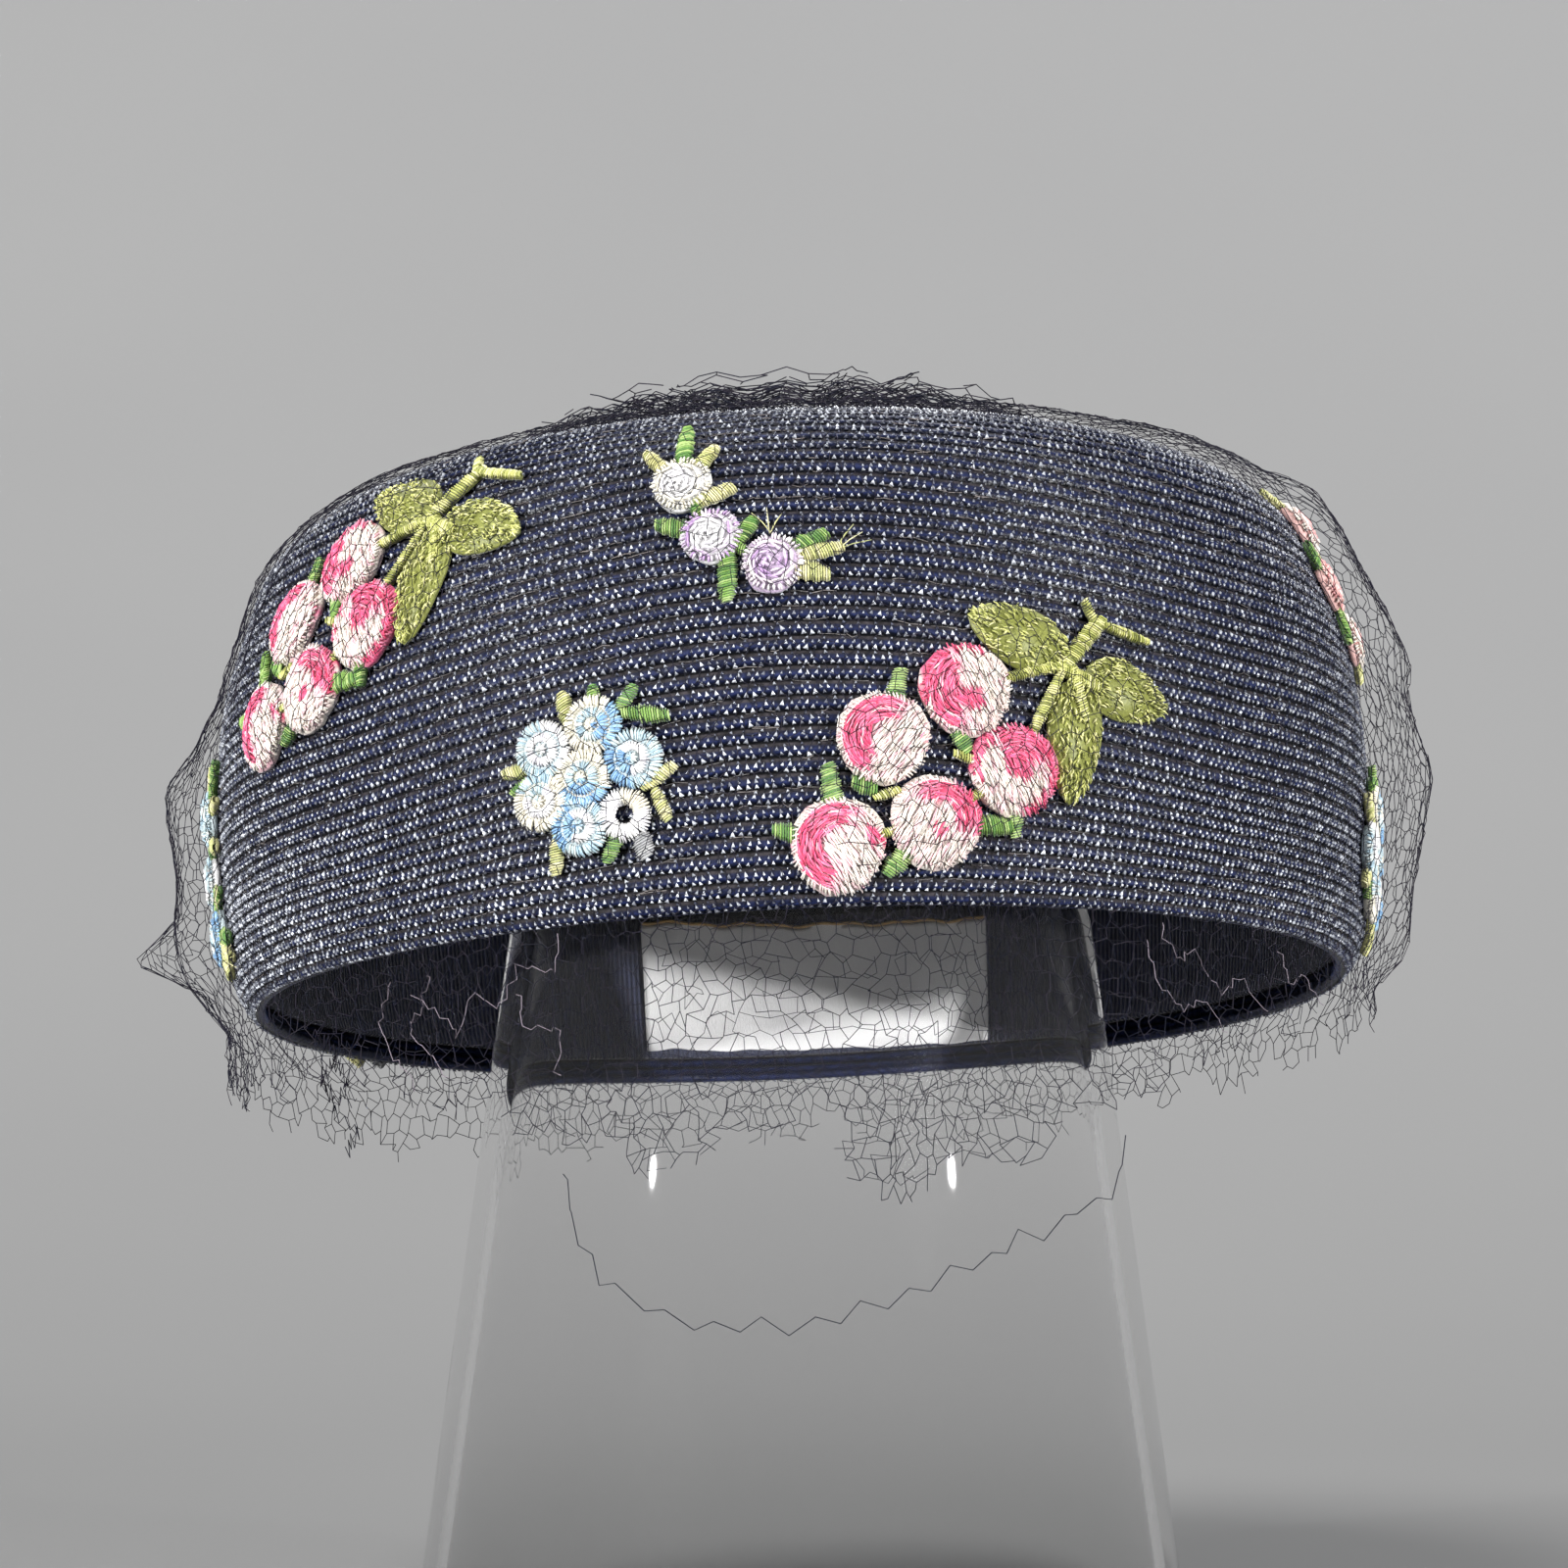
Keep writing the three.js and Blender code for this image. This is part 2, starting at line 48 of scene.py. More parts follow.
# Sizes of the hat and the stand, in millimetres and degrees
MM = 0.001
CROWN_WIDTH = 180.0
CROWN_DEPTH = 182.0
CROWN_HEIGHT = 79.0
CROWN_WALL = 2.0
BRAID_PITCH = 2.2
RIM_HEIGHT = 100.0
HAT_TILT = 10.0
HAT_ROLL = 2.4
HEADBAND_RISE = 4.0
HEADBAND_WIDTH = 25.0
LABEL_WIDTH = 65.0
LABEL_HEIGHT = 22.5
LABEL_RISE = 4.7
LABEL_OFFSET = 4.0
LABEL_SLOPE = 0.035
STAND_FOOT = 60.5
STAND_NECK = 48.5
STAND_SHOULDER = 40.0
STAND_SHOULDER_RISE = 29.0
STAND_DOME = 26.0
STAND_WALL = 4.0
STAND_GAP = 0.3
STAND_EDGE = 0.7
STAND_DOME_START = 26.0
NET_COLUMN = 1.3
NET_ROW = 2.6
NET_STRAND = 0.07
NET_HUG = 1.1
NET_OVER_MOTIF = 3.5
RIGHT_BILLOW = 6.8
LEFT_BILLOW = 4.5
LONGEST_HANG = 38.0
PUFF_HEIGHT = 8.0
PUFF_RADIUS = 45.0

# Steps round the pieces that are spun
STAND_STEPS = 128
CROWN_STEPS = 128
HEADBAND_STEPS = 200

HALF_WIDTH = CROWN_WIDTH / 2
OVAL = CROWN_DEPTH / CROWN_WIDTH

# Crown side, rim to the flat top: (share of half the width, share of the height)
CROWN_PROFILE = [
    (0.946, 0.0), (0.976, 0.06), (0.991, 0.2), (1.0, 0.4), (0.985, 0.6),
    (0.948, 0.74), (0.906, 0.86), (0.83, 0.94), (0.73, 0.985), (0.63, 1.0),
]

# Hem of the net: (azimuth, share of the longest hang below the rim)
HEM = [
    (-180, 0.24), (-150, 0.3), (-125, 0.36), (-90, 0.25), (-75, 0.35), (-60, 0.45), (-46, 0.52),
    (-33, 0.71), (-24, 0.84), (-16, 1.0), (-9, 1.0), (-4, 0.88), (0, 0.78), (1.5, 0.8), (3, 1.12),
    (6, 1.18), (11, 1.12), (22, 0.97), (27, 0.84), (36, 0.66), (46, 0.48), (60, 0.3), (75, 0.16),
    (90, 0.12), (150, 0.26), (180, 0.24),
]

# Where each motif lies: azimuth in degrees, share of the crown's side, turn in degrees
MOTIFS = {
    "berry_spray_1": (11.6, 0.195, 0),
    "berry_spray_2": (-52, 0.495, 0),
    "berry_spray_3": (142, 0.4, 8),
    "sprig_1": (-6.0, 0.566, 0),
    "sprig_2": (78, 0.61, -24),
    "sprig_3": (-83, 0.22, -40),
    "sprig_4": (-160, 0.5, 15),
    "posy_1": (-18.7, 0.212, 0),
    "posy_2": (82, 0.18, 35),
    "posy_3": (-122, 0.13, -60),
    "posy_4": (178, 0.19, 90),
}


def read_off(table, places):
    """Values at places, from a table of (place, value)."""
    return np.interp(places, *zip(*table))


# Crown surface in the hat's own frame, in millimetres
def catmull_rom(points, steps):
    """Smooth curve through points, with as many steps between each two."""
    p = np.array(points, float)
    ends = np.vstack([p[:1], p, p[-1:]])
    out = []
    for k in range(len(p) - 1):
        a, b, c, d = ends[k:k + 4]
        t = np.linspace(0, 1, steps, endpoint=False)[:, None]
        m0, m1 = (c - a) / 2, (d - b) / 2
        out.append((2 * b - 2 * c + m0 + m1) * t**3 + (3 * c - 3 * b - 2 * m0 - m1) * t**2 + m0 * t + b)
    return np.vstack(out + [p[-1:]])


profile = catmull_rom([(r * HALF_WIDTH, z * CROWN_HEIGHT) for r, z in CROWN_PROFILE], 80)
profile_length = np.concatenate([[0], np.cumsum(np.hypot(*np.diff(profile, axis=0).T))])
SIDE = profile_length[-1]
TOP_RADIUS = profile[-1, 0]
tangent = np.gradient(profile, profile_length, axis=0)
tangent /= np.linalg.norm(tangent, axis=1, keepdims=True)


def section(length, out):
    """Radius and height at a length up the side, below the rim or on the flat top, moved outwards."""
    length, out = np.broadcast_arrays(np.asarray(length, float), np.asarray(out, float))
    on_side = np.clip(length, 0, SIDE)
    r, z = (np.interp(on_side, profile_length, profile[:, k]) for k in (0, 1))
    tr, tz = (np.interp(on_side, profile_length, tangent[:, k]) for k in (0, 1))
    top = np.clip(length - SIDE, 0, None)
    flat = np.clip(top / 4, 0, 1)
    nr, nz = tz * (1 - flat), -tr * (1 - flat) + flat
    return r - top + out * nr, z + np.minimum(length, 0) + out * nz


def on_crown(azimuth, length, out):
    """Point over the crown at an azimuth and a length up its side, moved outwards."""
    r, z = section(length, out)
    turn = np.radians(azimuth)
    return np.stack([r * np.sin(turn), -r * np.cos(turn) * OVAL, z + 0 * turn], -1)


stand_low, stand_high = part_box("stand")
AXIS = (Vector(stand_low) + Vector(stand_high)) / 2
hat = (
    Matrix.Translation((AXIS.x, AXIS.y, RIM_HEIGHT * MM))
    @ Matrix.Rotation(math.radians(-HAT_TILT), 4, "X")
    @ Matrix.Rotation(math.radians(-HAT_ROLL), 4, "Y")
    @ Matrix.Scale(MM, 4)
)
hat_array = np.array(hat)


def to_world(points):
    """Points in the hat's own frame, in metres in the part's frame."""
    points = np.asarray(points, float)
    return points @ hat_array[:3, :3].T + hat_array[:3, 3]


# Meshes
def arrays_piece(name, points, faces, material, colours):
    """A mesh piece from arrays of world points and equal-sized faces, with one colour a point."""
    mesh = bpy.data.meshes.new(name)
    mesh.vertices.add(len(points))
    mesh.vertices.foreach_set("co", np.asarray(points, np.float32).ravel())
    mesh.loops.add(faces.size)
    mesh.loops.foreach_set("vertex_index", faces.astype(np.int32).ravel())
    mesh.polygons.add(len(faces))
    mesh.polygons.foreach_set("loop_start", np.arange(0, faces.size, faces.shape[1], dtype=np.int32))
    mesh.polygons.foreach_set("use_smooth", np.ones(len(faces), bool))
    layer = mesh.color_attributes.new("thread", "FLOAT_COLOR", "POINT")
    rgba = np.concatenate([colours, np.ones((len(colours), 1))], 1)
    layer.data.foreach_set("color", rgba.astype(np.float32).ravel())
    mesh.update()
    mesh.validate()
    return add_piece(name, mesh, material)


def add_piece(name, mesh, material):
    piece = bpy.data.objects.new(name, mesh)
    bpy.context.scene.collection.objects.link(piece)
    mesh.materials.append(material)
    return piece


def bmesh_piece(name, bm, material):
    bmesh.ops.recalc_face_normals(bm, faces=bm.faces)
    mesh = bpy.data.meshes.new(name)
    bm.to_mesh(mesh)
    bm.free()
    mesh.polygons.foreach_set("use_smooth", np.ones(len(mesh.polygons), bool))
    return add_piece(name, mesh, material)


def placed(piece, nodes):
    """Lets the piece ride on the one body, in the place of CAD nodes if it has any."""
    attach(piece, "root")
    if nodes:
        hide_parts(*nodes)
    return piece


def hat_piece(name, bm, material, node, oval=1.0):
    """A piece from a bmesh in the hat's own frame, in the place of one CAD node."""
    bmesh.ops.scale(bm, vec=(1, oval, 1), verts=bm.verts)
    bmesh.ops.transform(bm, matrix=hat, verts=bm.verts)
    return placed(bmesh_piece(name, bm, material), [node])


def spun(outline, steps, layers=None):
    """bmesh of an outline of (radius, height) points, spun all the way round Z."""
    bm = bmesh.new()
    marks = {key: bm.verts.layers.float.new(key) for key in layers or {}}
    verts = []
    for index, (r, z) in enumerate(outline):
        vert = bm.verts.new((r, 0, z))
        for key, mark in marks.items():
            vert[mark] = layers[key][index]
        verts.append(vert)
    edges = [bm.edges.new(pair) for pair in zip(verts, verts[1:])]
    bmesh.ops.spin(
        bm, geom=verts + edges, cent=(0, 0, 0), axis=(0, 0, 1), angle=math.tau,
        steps=steps, use_merge=True,
    )
    bmesh.ops.remove_doubles(bm, verts=bm.verts, dist=1e-4)
    return bm


def tubes(paths, radius, up, sides=3, caps=True):
    """Points and faces of many thin tubes; paths is an array of (tubes, points, 3)."""
    count, steps, _ = paths.shape
    radius = np.broadcast_to(radius, (count, steps))
    along = np.gradient(paths, axis=1)
    along /= np.linalg.norm(along, axis=2, keepdims=True) + 1e-12
    up = np.broadcast_to(up, paths.shape)
    side = np.cross(along, up)
    side /= np.linalg.norm(side, axis=2, keepdims=True) + 1e-12
    over = np.cross(side, along)
    turns = np.arange(sides) * math.tau / sides + math.pi / 2
    ring = np.cos(turns)[:, None] * side[:, :, None, :] + np.sin(turns)[:, None] * over[:, :, None, :]
    points = paths[:, :, None, :] + radius[:, :, None, None] * ring
    index = np.arange(count * steps * sides).reshape(count, steps, sides)
    a, b = index[:, :-1], index[:, 1:]
    quads = np.stack([a, np.roll(a, -1, 2), np.roll(b, -1, 2), b], -1).reshape(-1, 4)
    faces = [quads[:, [0, 1, 2]], quads[:, [0, 2, 3]]]
    if caps:
        for end in (index[:, 0, ::-1], index[:, -1]):
            for k in range(1, sides - 1):
                faces.append(end[:, [0, k, k + 1]])
    return points.reshape(-1, 3), np.concatenate(faces)


# Materials
class Finish:
    """A procedural material: its nodes and links, and the shader that they feed."""

    def __init__(self, name):
        self.material = bpy.data.materials.new(name)
        self.material.use_nodes = True
        self.nodes = self.material.node_tree.nodes
        self.links = self.material.node_tree.links
        self.shader = self.nodes["Principled BSDF"]

    def node(self, kind, values):
        """A new node; each value is a number for the named input, or an output to link to it."""
        node = self.nodes.new("ShaderNode" + kind)
        self.feed(node, values)
        return node

    def feed(self, node, values):
        for name, value in values.items():
            if isinstance(value, (float, tuple)):
                node.inputs[name].default_value = value
            else:
                self.links.new(value, node.inputs[name])

    def attribute(self, name):
        node = self.node("Attribute", {})
        node.attribute_name = name
        return node.outputs

    def place(self):
        return self.node("TexCoord", {}).outputs["Object"]

    def maths(self, operation, *values):
        node = self.node("Math", dict(enumerate(values)))
        node.operation = operation
        return node.outputs[0]

    def noise(self, scale, detail=3.0, place=None):
        place = place or self.place()
        return self.node("TexNoise", {"Scale": scale, "Detail": detail, "Vector": place}).outputs["Fac"]

    def ramp(self, source, stops):
        """Colours along a source from (place, colour) stops; a single number is a grey."""
        node = self.node("ValToRGB", {"Fac": source})
        elements = node.color_ramp.elements
        while len(elements) < len(stops):
            elements.new(0.5)
        for element, (place, colour) in zip(elements, stops):
            element.position = place
            element.color = (*(colour if isinstance(colour, tuple) else [colour] * 3), 1)
        return node.outputs["Color"]

    def multiplied(self, first, second):
        node = self.node("Mix", {})
        node.data_type = "RGBA"
        node.blend_type = "MULTIPLY"
        self.feed(node, {0: 1.0, 6: first, 7: second})
        return node.outputs[2]

    def made(self, values, height=None, depth=0.0, strength=0.0):
        """The material, with the shader's values and a bump of the height."""
        if height is not None:
            bump = self.node("Bump", {"Distance": depth, "Strength": strength, "Height": height})
            values = {**values, "Normal": bump.outputs["Normal"]}
        self.feed(self.shader, values)
        return self.material


# Across one row of braid: gap painted near black as shade, shiny cord, dusty strip, gap painted near black
# as shade
BRAID_STRIP = [
    (0.0, (0.0003, 0.0003, 0.001)), (0.1, (0.001, 0.002, 0.008)), (0.33, (0.008, 0.013, 0.05)),
    (0.58, (0.005, 0.008, 0.03)), (0.7, (0.023, 0.02, 0.023)), (0.82, (0.03, 0.026, 0.029)),
    (0.92, (0.0006, 0.0006, 0.002)), (1.0, (0.0003, 0.0003, 0.001)),
]


def braid_material():
    """Navy straw braid: gap painted near black as shade, shiny cord and a dusty brown-grey strip in each
    row.
    """
    finish = Finish("navy_braid")
    across = finish.maths("FRACT", finish.attribute("row")["Fac"])
    # Colour across the row, with painted shade in the gap between rows
    row_colour_and_gap_shade = finish.ramp(across, BRAID_STRIP)
    cloud = finish.noise(900.0, 4.0)
    speck = finish.ramp(cloud, [(0.3, 0.35), (0.75, (1.7, 1.7, 1.75))])
    gloss = finish.ramp(across, [(0.2, 0.3), (0.62, 0.75)])
    values = {"Base Color": finish.multiplied(row_colour_and_gap_shade, speck), "Roughness": gloss, "Specular IOR Level": 0.22}
    return finish.made(values, cloud, 0.0004, 0.7)


def twist_material():
    """Shiny twists of the braid, from near black to white by their colour, which holds painted glints."""
    finish = Finish("braid_twist")
    grain = finish.ramp(finish.noise(2500.0, 2.0), [(0.3, (0.7, 0.7, 0.72)), (0.7, 1.15)])
    own = finish.attribute("thread")["Color"]
    return finish.made({
        "Base Color": finish.multiplied(own, grain), "Roughness": 0.22,
        "Coat Weight": 0.4, "Coat Roughness": 0.15,
    })


def thread_material(name, roughness=0.5, sheen=0.25, gloss=0.5):
    """Thread in its own colours, with fine twist and a soft shine."""
    finish = Finish(name)
    twist = finish.noise(3200.0, 2.0)
    own = finish.attribute("thread")["Color"]
    values = {
        "Base Color": finish.multiplied(own, finish.ramp(twist, [(0.25, 0.72), (0.7, 1.12)])),
        "Roughness": roughness, "Specular IOR Level": gloss, "Sheen Weight": sheen, "Sheen Roughness": 0.4,
    }
    return finish.made(values, twist, 0.0001, 0.5)


def ribbon_material():
    """Navy grosgrain ribbon with fine cross ribs."""
    finish = Finish("navy_ribbon")
    tone = finish.ramp(finish.noise(500.0), [(0.3, (0.005, 0.008, 0.028)), (0.75, (0.011, 0.017, 0.06))])
    rib = finish.maths("SINE", finish.attribute("turn")["Fac"])
    return finish.made({"Base Color": tone, "Roughness": 0.65, "Sheen Weight": 0.3}, rib, 0.0002, 0.8)


def satin_material():
    """White satin with fine warp lines and soft creases, painted darker in the creases' hollows as shade.
    """
    finish = Finish("white_satin")
    stretch = finish.node("Mapping", {"Vector": finish.place(), "Scale": (6.0, 1.0, 0.6)})
    weave = finish.noise(1800.0, 2.0, stretch.outputs[0])
    crease = finish.noise(70.0, 3.0)
    # The tone follows the crease bump, darker in its hollows: painted shade
    tone = finish.ramp(crease, [
        (0.3, (0.82, 0.81, 0.82)), (0.55, (0.91, 0.9, 0.9)), (0.75, (0.94, 0.94, 0.93)),
    ])
    values = {"Base Color": tone, "Roughness": 0.6, "Specular IOR Level": 0.2, "Sheen Weight": 0.35}
    return finish.made(values, finish.maths("ADD", weave, crease), 0.0004, 0.6)


def clear_material():
    """Clear plastic, a little scuffed, and painted greyer towards its foot as shadow near the floor."""
    finish = Finish("clear_plastic")
    rough = finish.ramp(finish.noise(60.0, 5.0), [(0.45, 0.03), (0.8, 0.16)])
    rise = finish.node("SeparateXYZ", {0: finish.place()}).outputs["Z"]
    # Painted shadow: the tint darkens towards the foot
    foot_shaded_tint = finish.ramp(finish.maths("MULTIPLY", rise, 8.0), [(0.0, 0.66), (0.3, 0.825), (0.85, 0.985)])
    return finish.made({
        "Base Color": foot_shaded_tint, "Roughness": rough, "Transmission Weight": 0.992, "IOR": 1.03,
        "Coat Weight": 0.035, "Coat IOR": 1.4, "Coat Roughness": 0.05,
    })


def backdrop_material():
    """Pale paper with a faint cloud."""
    finish = Finish("pale_paper")
    tone = finish.ramp(finish.noise(1.5, 2.0), [(0.3, (0.204, 0.204, 0.205)), (0.7, 0.219)])
    return finish.made({"Base Color": tone, "Roughness": 0.9})


# Camera, floor and light
CAMERA_DISTANCE = 0.825
CAMERA_BELOW = 1.35
CAMERA_LENS = 119.9
FRAMING_DROP = 0.0045
# Point the camera and the lamps aim at, in the hat's own frame
AIM = Vector((-1.0, 0, 39.2))
# Half the floor's width, where it starts to curve up, the curve's radius and the wall above it
FLOOR_HALF = 5.0
CURVE_START = 0.3
CURVE_RADIUS = 2.2
WALL_HEIGHT = 3.0

# Round lamps aimed at the hat: (name, place, size, power, colour)
LAMPS = [
    ("key", (-1.2, -1.7, 3.1), 1.5, 115, (1, 0.99, 0.97)),
    ("fill", (2.4, -2.2, 1.2), 1.4, 40, (1, 1, 1)),
    ("front_left", (-2.66, -2.0, 0.08), 0.15, 145, (1, 1, 1)),
    ("front_right", (2.7, -2.0, 0.08), 0.15, 132, (1, 1, 1)),
    ("back", (0.4, 1.2, 2.6), 1.0, 40, (1, 1, 1)),
]
ROOM_COLOUR = (0.74, 0.76, 0.78, 1)
ROOM_STRENGTH = 0.42


def camera_and_light():
    scene = bpy.context.scene
    aim = hat @ AIM
    angle = math.radians(CAMERA_BELOW)
    data = bpy.data.cameras.new("camera")
    data.lens = CAMERA_LENS
    data.sensor_width = 36.0
    data.clip_start = 0.05
    camera = bpy.data.objects.new("camera", data)
    scene.collection.objects.link(camera)
    camera.location = aim + Vector((0, -math.cos(angle), -math.sin(angle))) * CAMERA_DISTANCE
    look = aim - Vector((0, 0, FRAMING_DROP)) - camera.location
    camera.rotation_euler = look.to_track_quat("-Z", "Y").to_euler()
    scene.camera = camera

    for name, place, size, power, colour in LAMPS:
        light = bpy.data.lights.new(name, "AREA")
        light.shape = "DISK"
        light.size = size
        light.energy = power
        light.color = colour
        lamp = bpy.data.objects.new(name, light)
        scene.collection.objects.link(lamp)
        lamp.location = place
        lamp.rotation_euler = (aim - Vector(place)).to_track_quat("-Z", "Y").to_euler()

    world = bpy.data.worlds.new("studio")
    scene.world = world
    world.use_nodes = True
    room = world.node_tree.nodes["Background"]
    room.inputs["Color"].default_value = ROOM_COLOUR
    room.inputs["Strength"].default_value = ROOM_STRENGTH
    scene.view_settings.view_transform = "Standard"


def floor():
    """Pale sweep: a floor that curves up into a back wall."""
    line = [(y, 0.0) for y in (-4.0, -2.0, 0.0)]
    for turn in np.linspace(0, math.pi / 2, 33):
        line.append((CURVE_START + CURVE_RADIUS * math.sin(turn), CURVE_RADIUS * (1 - math.cos(turn))))
    line.append((CURVE_START + CURVE_RADIUS, CURVE_RADIUS + WALL_HEIGHT))
    bm = bmesh.new()
    left, right = ([bm.verts.new((x, y, z)) for y, z in line] for x in (-FLOOR_HALF, FLOOR_HALF))
    for corners in zip(left, right, right[1:], left[1:]):
        bm.faces.new(corners)
    bmesh_piece("sweep", bm, backdrop_material())


# Stand
def stand():
    """Hollow tapered column with a soft shoulder and a dome, open below."""
    lean = math.cos(math.radians(HAT_TILT)) * math.cos(math.radians(HAT_ROLL))
    dome_middle = RIM_HEIGHT + (CROWN_HEIGHT - CROWN_WALL - STAND_DOME - STAND_GAP) / lean

    def face(inset):
        radius = STAND_DOME - inset
        turns = np.linspace(math.radians(STAND_DOME_START), math.pi / 2, 20)
        dome = [(radius * math.cos(turn), dome_middle + radius * math.sin(turn)) for turn in turns]
        dome[-1] = (0.0, dome[-1][1])
        shoulder = (STAND_SHOULDER - inset, RIM_HEIGHT + STAND_SHOULDER_RISE)
        soft = catmull_rom([(STAND_NECK - inset, RIM_HEIGHT), shoulder, dome[0]], 8)[4:-4]
        return [(STAND_FOOT - inset, 0.0), *map(tuple, soft), *dome[1:]]

    outer, inner = face(0), face(STAND_WALL)
    wide, narrow = outer[0][0], inner[0][0]
    outline = outer[:0:-1] + [(wide, STAND_EDGE), (wide - STAND_EDGE, 0.0)]
    outline += [(narrow + STAND_EDGE, 0.0), (narrow, STAND_EDGE)] + inner[1:]
    bm = spun(outline, STAND_STEPS)
    bmesh.ops.scale(bm, vec=(MM, MM, MM), verts=bm.verts)
    bmesh.ops.translate(bm, vec=(AXIS.x, AXIS.y, 0), verts=bm.verts)
    placed(bmesh_piece("clear_stand", bm, clear_material()), ["stand"])


# Crown of sewn braid
ROWS = round(SIDE / BRAID_PITCH)
ROW = SIDE / ROWS
TOP_ROWS = int(TOP_RADIUS / ROW)
# One row across, rim upwards: (share of the row, relief)
ROW_SHAPE = [(0.0, -0.7), (0.1, -0.14), (0.33, 0.0), (0.58, -0.12), (0.88, -0.3)]
# Rows that show inside the rim: (row, share of the row, relief)
INNER_ROWS = [
    (0, 0.1, -0.05), (0, 0.35, -0.3), (0, 0.6, -0.2), (0, 0.9, 0.2),
    (1, 0.05, 0.25), (1, 0.3, -0.2), (1, 0.5, 0.0),
]
# Rolled lip of the rim: (distance outwards, drop)
LIP = [(-1.0, 0.35), (-1.5, 0.55), (-CROWN_WALL, 0.3)]
# How far the rows dip towards the sides, over how many degrees, and how much at each length
ROW_DIP = 6.5
ROW_DIP_SPREAD = 52.0
ROW_DIP_SHAPE = [(0, 0), (26, 1), (62, 1), (SIDE, 0)]


def row_line(azimuth, length):
    """Where a row runs: level at the rim and the top, lower towards the sides in between."""
    around = np.abs((azimuth + 180) % 360 - 180)
    around = np.minimum(around, 180 - around)
    dip = 0.5 - 0.5 * np.cos(np.pi * np.minimum(around / ROW_DIP_SPREAD, 1))
    return length - ROW_DIP * dip * read_off(ROW_DIP_SHAPE, length)


def rows_laid(bm):
    """Moves the rows of the spun crown to where they run."""
    length_mark, relief_mark = (bm.verts.layers.float[key] for key in ("length", "relief"))
    verts = [vert for vert in bm.verts if vert[length_mark] > 0]
    marks = np.array([(vert.co.x, vert.co.y, vert[length_mark], vert[relief_mark]) for vert in verts])
    turn = np.arctan2(marks[:, 0], -marks[:, 1])
    r, z = section(row_line(np.degrees(turn), marks[:, 2]), marks[:, 3])
    for vert, place in zip(verts, np.column_stack([r * np.sin(turn), -r * np.cos(turn), z])):
        vert.co = place


def crown():
    """Rows of braid outside, a rolled lip, and a plain inside with a few rows near the rim."""
    def inside(length, out, row, drop=0.0):
        r, z = section(length, out)
        return float(r), float(z) - drop, row, 0.0, 0.0

    # Each point is (radius, height, row, length up the side or 0, relief)
    outline = []
    for row in range(ROWS + TOP_ROWS):
        for share, relief in ROW_SHAPE:
            length = (row + share) * ROW
            r, z = section(length, relief)
            if r > 0.4:
                on_side = length if length < SIDE else 0.0
                outline.append((float(r), float(z), row + share, on_side, relief))
    outline.append((0.0, CROWN_HEIGHT - 0.3, ROWS + TOP_ROWS + 0.5, 0.0, 0.0))
    outline.reverse()
    outline += [inside(0.0, out, 0.3, drop) for out, drop in LIP]
    for row, share, relief in INNER_ROWS:
        outline.append(inside((row + share) * ROW, relief - CROWN_WALL, row + share))
    # The plain inside is marked 0.1 across a row, so it takes the gap's near-black painted shade
    outline += [inside(length, -CROWN_WALL, 0.1) for length in np.linspace(HEADBAND_RISE + 1, SIDE, 24)]
    outline.append((0.0, CROWN_HEIGHT - CROWN_WALL, 0.1, 0.0, 0.0))
    marks = dict(zip(("row", "length", "relief"), list(zip(*outline))[2:]))
    bm = spun([spot[:2] for spot in outline], CROWN_STEPS, marks)
    rows_laid(bm)
    return hat_piece("braid_crown", bm, braid_material(), "crown", OVAL)


def lumps(centre, along, across, out):
    """Points and faces of many small closed lumps with three corners and a tip each."""
    foot = centre - 0.8 * along
    points = np.stack([centre + along, foot - across, foot + across, centre + out], 1)
    first = np.arange(len(centre))[:, None] * 4
    pattern = np.array([(0, 1, 3), (1, 2, 3), (2, 0, 3), (0, 2, 1)])
    return points.reshape(-1, 3), (first[:, :, None] + pattern[None]).reshape(-1, 3)


# Lines of twists along a row: (place across it, half length, half width, height, pitch, strength of the
# painted glints)
TWIST_LINES = [
    (0.17, 0.44, 0.34, 0.46, 1.22, 1.0),
    (0.48, 0.46, 0.34, 0.48, 1.22, 0.95),
    (0.77, 0.3, 0.3, 0.3, 2.3, 0.6),
]
# White of the twists' painted glints, and the twists' own navy
TWIST_PAINTED_GLINT = np.array((0.9, 0.94, 1.0))
TWIST_NAVY = np.array((0.006, 0.009, 0.035))
TWIST_SINK = -0.17
TWIST_SLANT = 0.18


